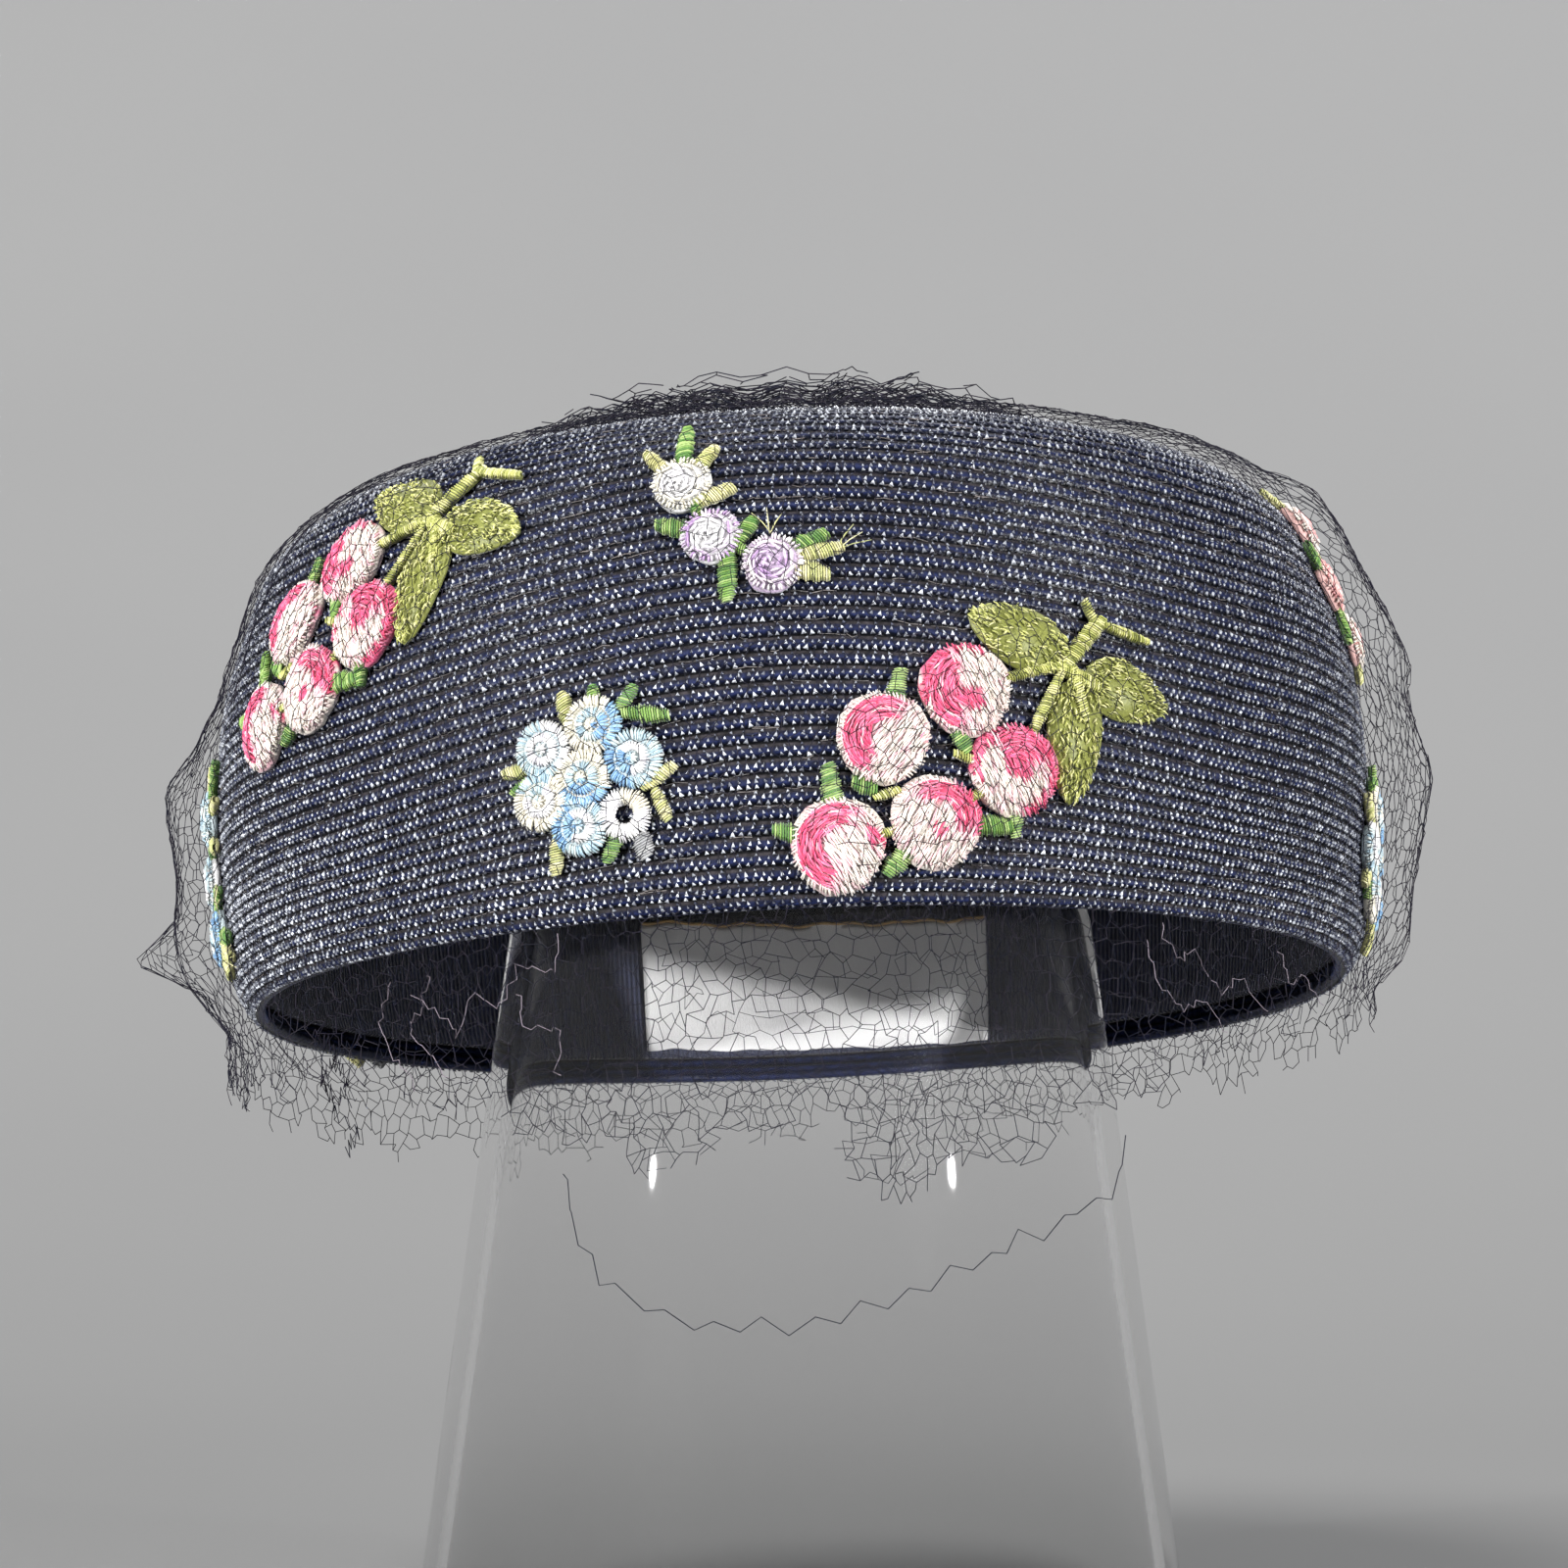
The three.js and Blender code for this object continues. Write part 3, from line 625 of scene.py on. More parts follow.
def braid_twists():
    """Shiny twists along every row: three lines of small lumps, coloured navy to white as painted glints,
    brightest low down in front.
    """
    parts = []
    for row in range(ROWS + TOP_ROWS - 1):
        start = rng.random() * 360
        for line, (share, long, wide, high, pitch, glint_strength) in enumerate(TWIST_LINES):
            length = (row + share) * ROW
            count = int(math.tau * float(section(length, 0)[0]) / pitch)
            step = 360.0 / count
            azimuth = (np.arange(count) + 0.5 * line + rng.normal(0, 0.09, count)) * step + start
            at = length + rng.normal(0, 0.05, count)
            here, after, before = (row_line(azimuth + turn, at) for turn in (0, 0.1, -0.1))
            centre = on_crown(azimuth, here, TWIST_SINK)
            normal = on_crown(azimuth, here, 1.0) - on_crown(azimuth, here, 0.0)
            around = on_crown(azimuth + 0.1, after, 0.0) - on_crown(azimuth - 0.1, before, 0.0)
            around /= np.linalg.norm(around, axis=1, keepdims=True)
            up = np.cross(normal, around)
            slant = rng.normal(TWIST_SLANT if row % 2 else -TWIST_SLANT, 0.15, (count, 1))
            size = rng.uniform(0.75, 1.2, (count, 1))
            # Painted glints: brighter in front and low down, where the lamps reach, and dull in the row at
            # the rim
            front = np.clip(np.cos(np.radians(azimuth + 12)), 0.05, 1) ** 0.6
            low = np.clip(1 - row / ROWS, 0, 1)
            painted_glint = glint_strength * (0.36 + 0.81 * (0.2 + 0.8 * low) * front)
            light = np.minimum((0.26 + 0.85 * rng.random(count) ** 1.4) * painted_glint, 1)[:, None]
            if row == 0:
                light = light * 0.7
            shade = TWIST_NAVY + (TWIST_PAINTED_GLINT - TWIST_NAVY) * light**1.6
            along = (up + slant * around) * long * size
            across = (around - slant * up) * wide * size
            parts.append((centre, along, across, normal * high * size, shade))
    centre, along, across, out, shade = (np.concatenate(part) for part in zip(*parts))
    half = len(centre) // 2
    for name, pick in (("braid_twists_low", slice(0, half)), ("braid_twists_high", slice(half, None))):
        points, faces = lumps(centre[pick], along[pick], across[pick], out[pick])
        colours = np.repeat(shade[pick], 4, 0)
        placed(arrays_piece(name, to_world(points), faces, MATERIALS["twist"], colours), [])


THREADS_A_ROW = 48
SEWING_RADIUS = 0.065
SEWING_TONE = (0.13, 0.11, 0.105)


def sewing_threads():
    """Thin pale brown thread that shows here and there between the rows."""
    paths, ups = [], []
    for row in range(1, ROWS):
        for _ in range(THREADS_A_ROW):
            azimuth = rng.uniform(-180, 180)
            turns = azimuth + np.linspace(0, rng.uniform(0.5, 2.6), 3)
            length = row_line(turns, (row + 0.9) * ROW + rng.normal(0, 0.16, 3))
            paths.append(on_crown(turns, length, rng.uniform(-0.1, 0.1)))
            ups.append(on_crown(turns, length, 1.0) - on_crown(turns, length, 0.0))
    paths, ups = np.array(paths), np.array(ups)
    points, faces = tubes(paths, SEWING_RADIUS, ups)
    tone = np.array(SEWING_TONE) * rng.uniform(0.4, 1.6, (len(paths), 1))
    colours = np.repeat(tone, 9, 0)
    placed(arrays_piece("sewing_threads", to_world(points), faces, MATERIALS["thread"], colours), [])


# Headband ribbon and label, with the ribbon's faces inside the crown's
RIBBON_OUTER = -CROWN_WALL - 0.35
RIBBON_INNER = -CROWN_WALL - 1.2
RIB_SPACING = 0.9
LABEL_GAP = 0.75
LABEL_THICKNESS = 0.3
GOLD = (0.5, 0.3, 0.1)
GOLD_RADIUS = 0.28


def headband():
    """Ribbon round the inside of the rim."""
    lengths = np.linspace(HEADBAND_RISE, HEADBAND_RISE + HEADBAND_WIDTH, 9)
    faces = (RIBBON_OUTER, RIBBON_INNER)
    outer, inner = ([tuple(map(float, section(length, out))) for length in lengths] for out in faces)
    bm = spun(outer + inner[::-1] + outer[:1], HEADBAND_STEPS)
    turn = bm.verts.layers.float.new("turn")
    for vert in bm.verts:
        vert[turn] = math.atan2(vert.co.x, vert.co.y) * HALF_WIDTH / RIB_SPACING * math.tau
    return hat_piece("ribbon_headband", bm, ribbon_material(), "headband", OVAL)


def label():
    """Bare satin label, a little rippled, with a gold top edge."""
    centre = 180 - math.degrees(LABEL_OFFSET / HALF_WIDTH)

    def spot(x, y, rise):
        ripple = 0.14 * np.sin(x * 0.55 + 0.6) * np.cos(y * 0.4) + 0.1 * np.sin(x * 0.23 + y * 0.5)
        edge = 0.25 * np.sin(x * 0.42) + 0.15 * np.sin(x * 0.9 + 1)
        up = LABEL_RISE + LABEL_HEIGHT / 2 + y + edge * np.abs(y) / LABEL_HEIGHT * 2 - x * LABEL_SLOPE
        return on_crown(centre - np.degrees(x / HALF_WIDTH), up, RIBBON_INNER - LABEL_GAP - ripple - rise)

    bm = bmesh.new()
    bmesh.ops.create_grid(bm, x_segments=60, y_segments=20, size=1.0)
    for vert in bm.verts:
        vert.co = spot(vert.co.x * LABEL_WIDTH / 2, vert.co.y * LABEL_HEIGHT / 2, 0.0)
    bmesh.ops.solidify(bm, geom=bm.faces[:], thickness=LABEL_THICKNESS)
    satin = hat_piece("satin_label", bm, satin_material(), "label")

    along = np.linspace(-LABEL_WIDTH / 2, LABEL_WIDTH / 2, 90)
    path = spot(along, LABEL_HEIGHT / 2 - 0.1, 0.32)[None]
    points, faces = tubes(path, GOLD_RADIUS, (0.0, -1.0, 0.0), sides=4)
    colours = GOLD * rng.uniform(0.7, 1.2, (len(points), 1))
    gold_edge = arrays_piece("label_gold_edge", to_world(points), faces, MATERIALS["thread"], colours)
    placed(gold_edge, [])
    return satin


# Embroidery: threads laid on a flat motif and bent onto the crown, heights above the braid
LEAF_TOP = 1.1
BLOOM_EDGE = 1.35
BERRY_TOP = 2.35
ROSE_TOP = 2.3
ROSETTE_TOP = 2.0
PAD_BASE = 0.35
PAD_SIDES = 28
STITCH_SLANT = 0.25
STITCH_PITCH = 0.36
BULLION_PITCH = 0.33
LILAC = [(0.66, 0.51, 0.7), (0.76, 0.67, 0.77), (0.5, 0.32, 0.58)]
PALE_LILAC = [(0.84, 0.77, 0.8), (0.76, 0.66, 0.74), (0.9, 0.86, 0.84)]
WHITE = [(0.92, 0.91, 0.9), (0.86, 0.85, 0.85), (0.8, 0.78, 0.82)]
SALMON = [(0.86, 0.5, 0.46), (0.9, 0.68, 0.62), (0.8, 0.36, 0.36)]
SKY = [(0.4, 0.55, 0.64), (0.54, 0.66, 0.69), (0.7, 0.74, 0.71)]
DEEP_SKY = [(0.2, 0.38, 0.62), (0.34, 0.54, 0.72)]
IVORY = [(0.84, 0.79, 0.66), (0.78, 0.74, 0.62), (0.88, 0.85, 0.76)]
CREAM = [(0.86, 0.78, 0.68), (0.9, 0.83, 0.76), (0.84, 0.68, 0.64)]
ROSE = [(0.8, 0.1, 0.24), (0.82, 0.22, 0.36), (0.72, 0.06, 0.16)]
PINK = [(0.86, 0.5, 0.56), (0.88, 0.62, 0.64)]
OLIVE = [(0.26, 0.28, 0.055), (0.44, 0.46, 0.12), (0.6, 0.6, 0.2), (0.74, 0.72, 0.33)]
GREEN = [(0.09, 0.22, 0.04), (0.2, 0.36, 0.07), (0.36, 0.5, 0.16)]
YELLOW = [(0.62, 0.6, 0.27), (0.5, 0.52, 0.2), (0.74, 0.7, 0.4)]
GREY = [(0.36, 0.36, 0.37), (0.5, 0.5, 0.5)]


def heading(turn):
    """Unit vectors along and across a bearing that is turned from straight up."""
    angle = math.radians(turn)
    along = np.array((-math.sin(angle), math.cos(angle)))
    return along, np.array((along[1], -along[0]))


class Threads:
    """Collects stitches in a motif's flat millimetre plane: x along the rim, y up, z outwards."""

    def __init__(self):
        self.tubes, self.pads = [], []

    def add(self, start, end, base, rise, radius, tones, long=False):
        """Stitches from start to end points, domed by rise, flat on top where they are long.

        tones is a palette, or an array with a colour for each."""
        start, end = np.atleast_2d(start).astype(float), np.atleast_2d(end).astype(float)
        count = len(start)
        base = np.broadcast_to(base, (count,)) + rng.normal(0, 0.04, count)
        shares = (0.0, 0.25, 0.75, 1.0) if long else (0.0, 0.5, 1.0)
        steps = []
        for share in shares:
            flat = start + (end - start) * share
            steps.append(np.column_stack([flat, base + (0.75 if 0 < share < 1 else -0.25) * rise]))
        path = np.stack(steps, 1)
        width = radius * rng.uniform(0.85, 1.15, (count, 1))
        width = width * np.array([0.75] + [1.0] * (len(shares) - 2) + [0.75])
        if isinstance(tones, list):
            tones = np.array(tones)[rng.integers(0, len(tones), count)]
        self.tubes.append((path, width, tones * rng.uniform(0.88, 1.1, (count, 1))))

    def satin_leaf(self, base, turn, length, width, palette):
        """Blunt leaf or stalk of stitches laid across its middle line."""
        along, across = heading(turn)
        steps = max(int(length / STITCH_PITCH), 4)
        t = (np.arange(steps) + 0.5) / steps
        half = width * np.sin(np.pi * (0.1 + 0.8 * t)) ** 0.5 * rng.uniform(0.82, 1.1, steps)
        middle = np.array(base) + t[:, None] * length * along
        reach = half[:, None] * (across + STITCH_SLANT * along)
        self.add(middle - reach, middle + reach, LEAF_TOP, rise=0.55, radius=0.21, tones=palette, long=True)
        outline = np.concatenate([middle - 0.8 * reach, (middle + 0.8 * reach)[::-1]])
        # The pad is the leaf colour darkened: painted shade in the gaps between stitches
        self.pads.append(flat_pad(outline, LEAF_TOP - 0.1, LEAF_TOP + 0.1, np.array(palette[0]) * 0.55))

    def satin_stalk(self, start, end, width, palette):
        run = np.array(end, float) - np.array(start, float)
        turn = math.degrees(math.atan2(-run[0], run[1]))
        self.satin_leaf(start, turn, np.linalg.norm(run), width / 2, palette)

    def filled_leaf(self, base, turn, length, width, palette):
        """Broad leaf filled with short stitches that run along it."""
        along, across = heading(turn)

        def half_width(t):
            return width * np.sin(np.pi * np.clip(t, 0, 1) ** 0.8) ** 0.62

        count = int(length * width * 3.6)
        t = rng.uniform(0.02, 0.98, count)
        off = rng.uniform(-1, 1, count) * half_width(t)
        middle = np.array(base) + t[:, None] * length * along + off[:, None] * across
        bend = math.radians(turn) + rng.normal(0, 0.4, count) - 0.25 * off / width
        half = np.column_stack([-np.sin(bend), np.cos(bend)]) * rng.uniform(0.35, 0.65, (count, 1))
        swell = 0.4 * (1 - (off / width) ** 2)
        self.add(middle - half, middle + half, LEAF_TOP - 0.1 + swell, rise=0.3, radius=0.15, tones=palette)
        rim = np.linspace(0, 1, 15)
        right, left = (np.column_stack([side * half_width(rim), rim]) for side in (1, -1))
        edge = np.concatenate([right, left[-2:0:-1]])
        outline = np.array(base) + edge[:, :1] * across + edge[:, 1:] * length * along
        # The pad is the leaf colour darkened: painted shade in the gaps between stitches
        self.pads.append(flat_pad(outline, LEAF_TOP - 0.15, LEAF_TOP + 0.2, np.array(palette[0]) * 0.8))

    def built(self, motif, nodes):
        """One piece from all the stitches and pads, bent onto the crown."""
        azimuth, share, turn = MOTIFS[motif]
        parts = []
        for path, width, tones in self.tubes:
            points, faces = tubes(path, width, (0.0, 0.0, 1.0))
            parts.append((points, faces, np.repeat(tones, 3 * path.shape[1], 0)))
        points, faces, colours = zip(*parts, *self.pads)
        starts = np.cumsum([0] + [len(part) for part in points])
        faces = np.concatenate([part + start for part, start in zip(faces, starts)])
        world = to_world(wrap(np.concatenate(points), azimuth, share * SIDE, turn))
        placed(arrays_piece(motif, world, faces, MATERIALS["thread"], np.concatenate(colours)), nodes)


def wrap(points, azimuth, length, turn):
    """Bends flat motif points onto the crown at an azimuth and a length up its side."""
    angle = math.radians(turn)
    x = points[:, 0] * math.cos(angle) - points[:, 1] * math.sin(angle)
    y = points[:, 0] * math.sin(angle) + points[:, 1] * math.cos(angle)
    up = length + y
    around = np.degrees(x / section(up, 0)[0])
    return on_crown(azimuth + around, up, points[:, 2])


def closed_pad(centre, outline, levels, tip, tone):
    """Points, triangles and colours of a closed pad under the stitches.

    The outline shrinks round its centre through levels of (share, height) up to a tip; tone is
    a colour, or gives one for each flat point."""
    count = len(outline)

    def ring(share, height):
        return np.column_stack([centre + (outline - centre) * share, np.full(count, height)])

    rings = [ring(share, height) for share, height in levels]
    foot = [[[*centre, tip]], ring(1.0, PAD_BASE), [[*centre, PAD_BASE]]]
    points = np.concatenate(rings + foot)
    k = np.arange(count)
    n = (k + 1) % count
    top = len(levels) * count
    last, base = top - count, top + 1
    faces = []
    for a, b in zip(range(0, last, count), range(count, top, count)):
        faces += [np.column_stack([a + k, a + n, b + n]), np.column_stack([a + k, b + n, b + k])]
    faces.append(np.column_stack([last + k, last + n, np.full(count, top)]))
    faces += [np.column_stack([base + k, base + n, n]), np.column_stack([base + k, n, k])]
    faces.append(np.column_stack([base + n, base + k, np.full(count, base + count)]))
    colours = tone(points[:, :2]) if callable(tone) else np.tile(tone, (len(points), 1))
    return points, np.concatenate(faces), colours


def dome_height(share, low, high):
    """Height of a flat-topped dome at a share of its radius."""
    return low + (high - low) * (1 - np.clip(share, 0, 1) ** 3.0)


def dome_pad(centre, radius, low, high, tone):
    """Round pad, a little uneven at its edge, for a bloom."""
    turns = np.arange(PAD_SIDES) * math.tau / PAD_SIDES
    edge = radius * (1 + 0.04 * np.sin(turns * 3 + centre[0]) + rng.normal(0, 0.04 / 3, PAD_SIDES))
    outline = centre + round_spots(turns) * edge[:, None]
    shares = 1 - (np.arange(5) / 5) ** 1.3
    levels = [(share, dome_height(share, low, high)) for share in shares]
    return closed_pad(centre, outline, levels, high, tone)


def flat_pad(outline, edge_height, middle_height, tone):
    """Low pad for a leaf, whichever way round its outline runs."""
    middle = outline.mean(0)
    points, faces, colours = closed_pad(middle, outline, [(1.0, edge_height)], middle_height, tone)
    upward = np.cross(*(outline[[0, len(outline) // 3]] - middle)) > 0
    return points, faces if upward else faces[:, ::-1], colours


def round_spots(turns):
    """Flat unit vectors at angles in radians, a row for each."""
    return np.column_stack([np.cos(turns), np.sin(turns)])


def berry_bloom(threads, centre, radius, look):
    """Embroidered bloom: edge stitches, a raspberry crescent and a cream middle.

    look gives the crescent's and the raspberry edge's bearings in degrees, the place of the
    cream middle, the direction of its stitches and a raspberry mark as (x, y, size)."""
    arc, edge_arc, heart, lean, mark = look
    low, high = BLOOM_EDGE, BERRY_TOP
    centre, heart = np.array(centre), np.array(heart)

    def within(bearing, span, grow=0.0):
        return (bearing - span[0] + grow) % 360 < span[1] - span[0] + 2 * grow

    def tones(place):
        count = len(place)
        bearing = np.degrees(np.arctan2(place[:, 1], place[:, 0]))
        off = np.hypot(*(place - heart).T)
        out = np.hypot(*place.T)
        cream, pink, rose = (np.array(p)[rng.integers(0, len(p), count)] for p in (CREAM, PINK, ROSE))
        shade = np.where((rng.random(count) < 0.16)[:, None], pink, cream)
        near = within(bearing, arc, 16) & (off > 0.38) & (out < 0.86)
        shade = np.where(near[:, None], pink, shade)
        red = within(bearing, arc) & (off > 0.44) & (out < 0.84)
        red |= np.hypot(*(place - np.array(mark[:2])).T) < mark[2]
        red |= within(bearing, edge_arc) & (out > 0.76)
        red &= rng.random(count) < 0.94
        return np.where(red[:, None], rose, shade)

    edge = np.radians(np.arange(0, 360, 5.6))
    edge = edge + rng.normal(0, 0.02, len(edge))
    spot = round_spots(edge)
    spin = np.column_stack([-spot[:, 1], spot[:, 0]])
    inner = centre + (spot - 0.05 * spin) * radius * rng.uniform(0.72, 0.78, (len(edge), 1))
    outer = centre + (spot + 0.08 * spin) * radius * rng.uniform(0.93, 0.99, (len(edge), 1))
    height = dome_height(0.9, low, high)
    threads.add(inner, outer, height, rise=0.34, radius=0.22, tones=tones(spot * 0.92))
    count = 130
    for _ in range(3):
        around = rng.uniform(0, math.tau, count)
        out = np.sqrt(rng.uniform(0.0, 0.76, count))
        place = round_spots(around) * out[:, None]
        bearing = np.degrees(around)
        banded = within(bearing, arc) & (np.hypot(*(place - heart).T) > 0.44)
        angle = np.where(banded, around + 0.5 * math.pi, math.radians(lean)) + rng.normal(0, 0.1, count)
        half = round_spots(angle) * rng.uniform(0.12, 0.2, (count, 1))
        start, end = centre + radius * (place - half), centre + radius * (place + half)
        height = dome_height(out, low, high) + 0.08
        threads.add(start, end, height, rise=0.26, radius=0.17, tones=tones(place))
    # The pad takes the bloom's colours darkened: painted shade in the gaps between stitches
    threads.pads.append(dome_pad(
        centre, radius * 0.97, low - 0.2, high - 0.05, lambda flat: tones((flat - centre) / radius) * 0.8,
    ))


# Berry spray, with places and sizes as shares of BERRY
BERRY = 12.8
BERRY_BLOOM_RADIUS = 6.8
# Blooms: (place, look)
BERRY_BLOOMS = [
    ((0.47, 0.9), ((115, 255), (60, 200), (0.22, 0.12), 115, (0.12, -0.2, 0.24))),
    ((-0.47, 0.37), ((62, 236), (0, 1), (0.16, -0.08), 50, (2, 2, 0))),
    ((1.0, 0.02), ((20, 122), (-80, 190), (-0.08, -0.28), 115, (0.02, 0.1, 0.3))),
    ((0.09, -0.56), ((-12, 118), (-20, 60), (-0.08, 0.02), 60, (0.04, -0.14, 0.15))),
    ((-0.99, -0.79), ((66, 258), (0, 1), (0.16, -0.06), 125, (0.72, 0.18, 0.16))),
]
# Leaves and sprigs: (base, turn, length, half width)
BERRY_LEAVES = [
    ((1.72, 1.28), 67, 1.26, 0.36), ((1.9, 1.12), -106, 1.14, 0.35), ((1.84, 1.1), 173, 1.45, 0.34),
]
BERRY_SPRIGS = [
    ((-0.47, 0.37), -17, 0.8, 0.12), ((-0.99, -0.79), 6, 0.9, 0.12), ((-0.99, -0.79), 75, 0.74, 0.12),
    ((0.09, -0.56), 135, 0.8, 0.13), ((0.09, -0.56), -93, 0.9, 0.13), ((0.47, 0.2), 20, 0.4, 0.12),
    ((-0.55, -0.2), 70, 0.3, 0.12), ((1.0, 0.02), 180, 0.75, 0.1),
]
# Stalks: (start, end, width in millimetres)
BERRY_JOINT = (1.67, 1.23)
BERRY_STALKS = [
    ((1.6, 1.15), (2.2, 1.8), 2.8), ((2.1, 1.74), (2.8, 1.56), 1.5), ((1.97, 2.0), (2.12, 1.7), 1.3),
    (BERRY_JOINT, (0.6, 0.95), 1.6), (BERRY_JOINT, (1.1, 0.2), 1.7), ((1.6, 1.2), (2.1, 0.98), 2.6),
    ((1.75, 1.25), (1.9, 0.6), 2.0), ((0.3, 0.2), (0.62, 0.1), 1.5),
    ((-0.3, -0.2), (-0.6, -0.3), 1.5), ((0.09, -0.56), (1.0, 0.02), 1.5),
    ((0.09, -0.56), (-0.99, -0.79), 1.5),
]


def node_names(motif, blooms):
    return [f"{motif}_leaves"] + [f"{motif}_bloom_{k + 1}" for k in range(blooms)]


def berry_spray(motif):
    threads = Threads()
    for place, turn, length, width in BERRY_LEAVES:
        threads.filled_leaf(np.array(place) * BERRY, turn, length * BERRY, width * BERRY, OLIVE)
    for place, turn, length, width in BERRY_SPRIGS:
        threads.satin_leaf(np.array(place) * BERRY, turn, length * BERRY, width * BERRY, GREEN)
    for start, end, width in BERRY_STALKS:
        threads.satin_stalk(np.array(start) * BERRY, np.array(end) * BERRY, width, OLIVE)
    for place, look in BERRY_BLOOMS:
        berry_bloom(threads, np.array(place) * BERRY, BERRY_BLOOM_RADIUS, look)
    threads.built(motif, node_names(motif, 5))


# Rose sprig, with places and sizes as shares of ROSE_SIZE
ROSE_SIZE = 8.4
ROSE_HEART = np.array((-0.6, -0.3))
SPRIG_BLOOMS = [(-0.68, 0.92), (-0.18, -0.15), (0.85, -0.72)]
# Leaves: (base, turn, length, half width, palette)
SPRIG_LEAVES = [
    ((-0.68, 0.95), -3, 1.25, 0.16, GREEN), ((-0.68, 0.92), 42, 0.98, 0.15, YELLOW),
    ((-0.68, 0.92), -38, 0.95, 0.15, YELLOW), ((-0.18, -0.1), 74, 1.0, 0.2, GREEN),
    ((-0.51, 0.53), -67, 0.78, 0.17, YELLOW), ((0.1, -0.42), 178, 0.95, 0.17, GREEN),
    ((0.2, -0.35), -34, 0.62, 0.17, GREEN), ((1.05, -0.55), -62, 0.8, 0.18, GREEN),
    ((0.85, -0.66), -80, 1.2, 0.15, YELLOW), ((0.85, -0.72), -104, 0.98, 0.2, YELLOW),
]
# Loose stitches: (start, end)
SPRIG_WISPS = [
    ((1.9, -0.55), (2.35, -0.2)), ((1.9, -0.5), (2.2, -0.05)), ((1.85, -0.55), (2.5, -0.35)),
    ((0.8, -0.2), (0.75, 0.35)), ((0.8, -0.2), (1.0, 0.2)), ((0.85, -0.2), (0.5, 0.25)),
]


def wound_bloom(threads, centre, radius, palette, edge_palette):
    """Small rose of stitches wound round its middle, with a pale heart to one side."""
    low, high = BLOOM_EDGE, ROSE_TOP
    edge = np.arange(0, 360, 8.5)
    spot = round_spots(np.radians(edge + rng.normal(0, 2, len(edge))))
    outer = centre + spot * radius * rng.uniform(0.93, 1.0, (len(edge), 1))
    height = dome_height(0.88, low, high)
    threads.add(centre + spot * radius * 0.74, outer, height, rise=0.4, radius=0.25, tones=edge_palette)
    for ring, tones in ((0.66, edge_palette), (0.5, palette), (0.32, palette), (0.14, palette)):
        count = max(int(24 * ring), 5)
        turns = np.arange(count) * math.tau / count + rng.normal(0, 0.16, count) + ring * 3
        sweep = 0.4 if ring > 0.3 else 1.0
        middle = centre + radius * (1 - ring) * 0.3 * ROSE_HEART
        start = middle + radius * ring * round_spots(turns - sweep)
        end = middle + radius * (ring + 0.08) * round_spots(turns + sweep)
        height = dome_height(ring, low, high) + rng.uniform(0, 0.16, count)
        threads.add(start, end, height, rise=0.3, radius=0.23, tones=tones, long=True)
    # The pad is the bloom colour darkened: painted shade in the gaps between stitches
    tone = np.mean(palette, axis=0) * 0.75
    threads.pads.append(dome_pad(centre, radius * 0.95, low - 0.2, high - 0.1, tone))


def sprig(motif, palettes):
    threads = Threads()
    for place, turn, length, width, tones in SPRIG_LEAVES:
        threads.satin_leaf(np.array(place) * ROSE_SIZE, turn, length * ROSE_SIZE, width * ROSE_SIZE, tones)
    for start, end in zip(SPRIG_BLOOMS, SPRIG_BLOOMS[1:]):
        threads.satin_stalk(np.array(start) * ROSE_SIZE, np.array(end) * ROSE_SIZE, 1.6, GREEN)
    for place, tones in zip(SPRIG_BLOOMS, palettes):
        wound_bloom(threads, np.array(place) * ROSE_SIZE, ROSE_SIZE / 2 + 0.3, *tones)
    ends = np.array(SPRIG_WISPS) * ROSE_SIZE
    threads.add(ends[:, 0], ends[:, 1], LEAF_TOP + 0.3, rise=0.5, radius=0.11, tones=YELLOW)
    threads.built(motif, node_names(motif, 3))


# Posy, with the rosettes' places as shares of ROSETTE
ROSETTE = 8.0
POSY_BLOOMS = [
    (0.1, 0.9), (0.8, 0.24), (-0.14, -0.02), (-0.85, 0.56), (-0.95, -0.35), (-0.25, -0.86), (0.58, -0.73),
]
# Looks of the rosettes: outer and inner palette, then a crescent's palette and bearings
POSY_LOOKS = [
    (IVORY, SKY, DEEP_SKY, (-70, 40)), (SKY, WHITE, DEEP_SKY, (140, 260)),
    (IVORY, SKY, DEEP_SKY, (200, 330)), (SKY, WHITE, WHITE, (-60, 90)), (IVORY, WHITE, SKY, (60, 150)),
    (SKY, WHITE, DEEP_SKY, (110, 230)), (WHITE, None, IVORY, (0, 90)),
]
# Leaf bars of the posy, in millimetres from its middle: (base, turn, length, half width, palette)
POSY_LEAVES = [
    ((-2.6, 7.0), 14, 5.6, 1.3, YELLOW), ((5.0, 8.6), -98, 7.0, 1.3, GREEN),
    ((4.6, 9.0), -35, 4.2, 1.1, GREEN), ((7.2, -2.4), -58, 6.0, 1.15, YELLOW),
    ((9.0, -2.6), -158, 5.0, 1.1, YELLOW), ((3.9, -7.6), 152, 5.4, 1.1, GREEN),
    ((-5.4, -6.8), 172, 6.6, 1.2, YELLOW), ((-9.0, 2.2), 96, 4.6, 1.2, YELLOW),
    ((-9.4, 0.6), 125, 3.4, 1.0, GREEN), ((1.0, 9.6), 4, 3.4, 1.0, GREEN),
    ((6.6, -8.6), -168, 3.6, 1.6, GREY),
]


def bullion_ring(threads, centre, radius, width, height, tones):
    """Ring of close stitches over a cord; tones gives a colour for each bearing in degrees."""
    count = max(int(math.tau * radius / BULLION_PITCH), 8)
    turns = np.arange(count) * math.tau / count + rng.normal(0, 0.03, count)
    reach = width * rng.uniform(0.85, 1.05, (count, 1))
    start = centre + round_spots(turns) * (radius - reach)
    end = centre + round_spots(turns + 0.12) * (radius + reach)
    threads.add(start, end, height, rise=0.62, radius=0.24, tones=tones(np.degrees(turns)), long=True)


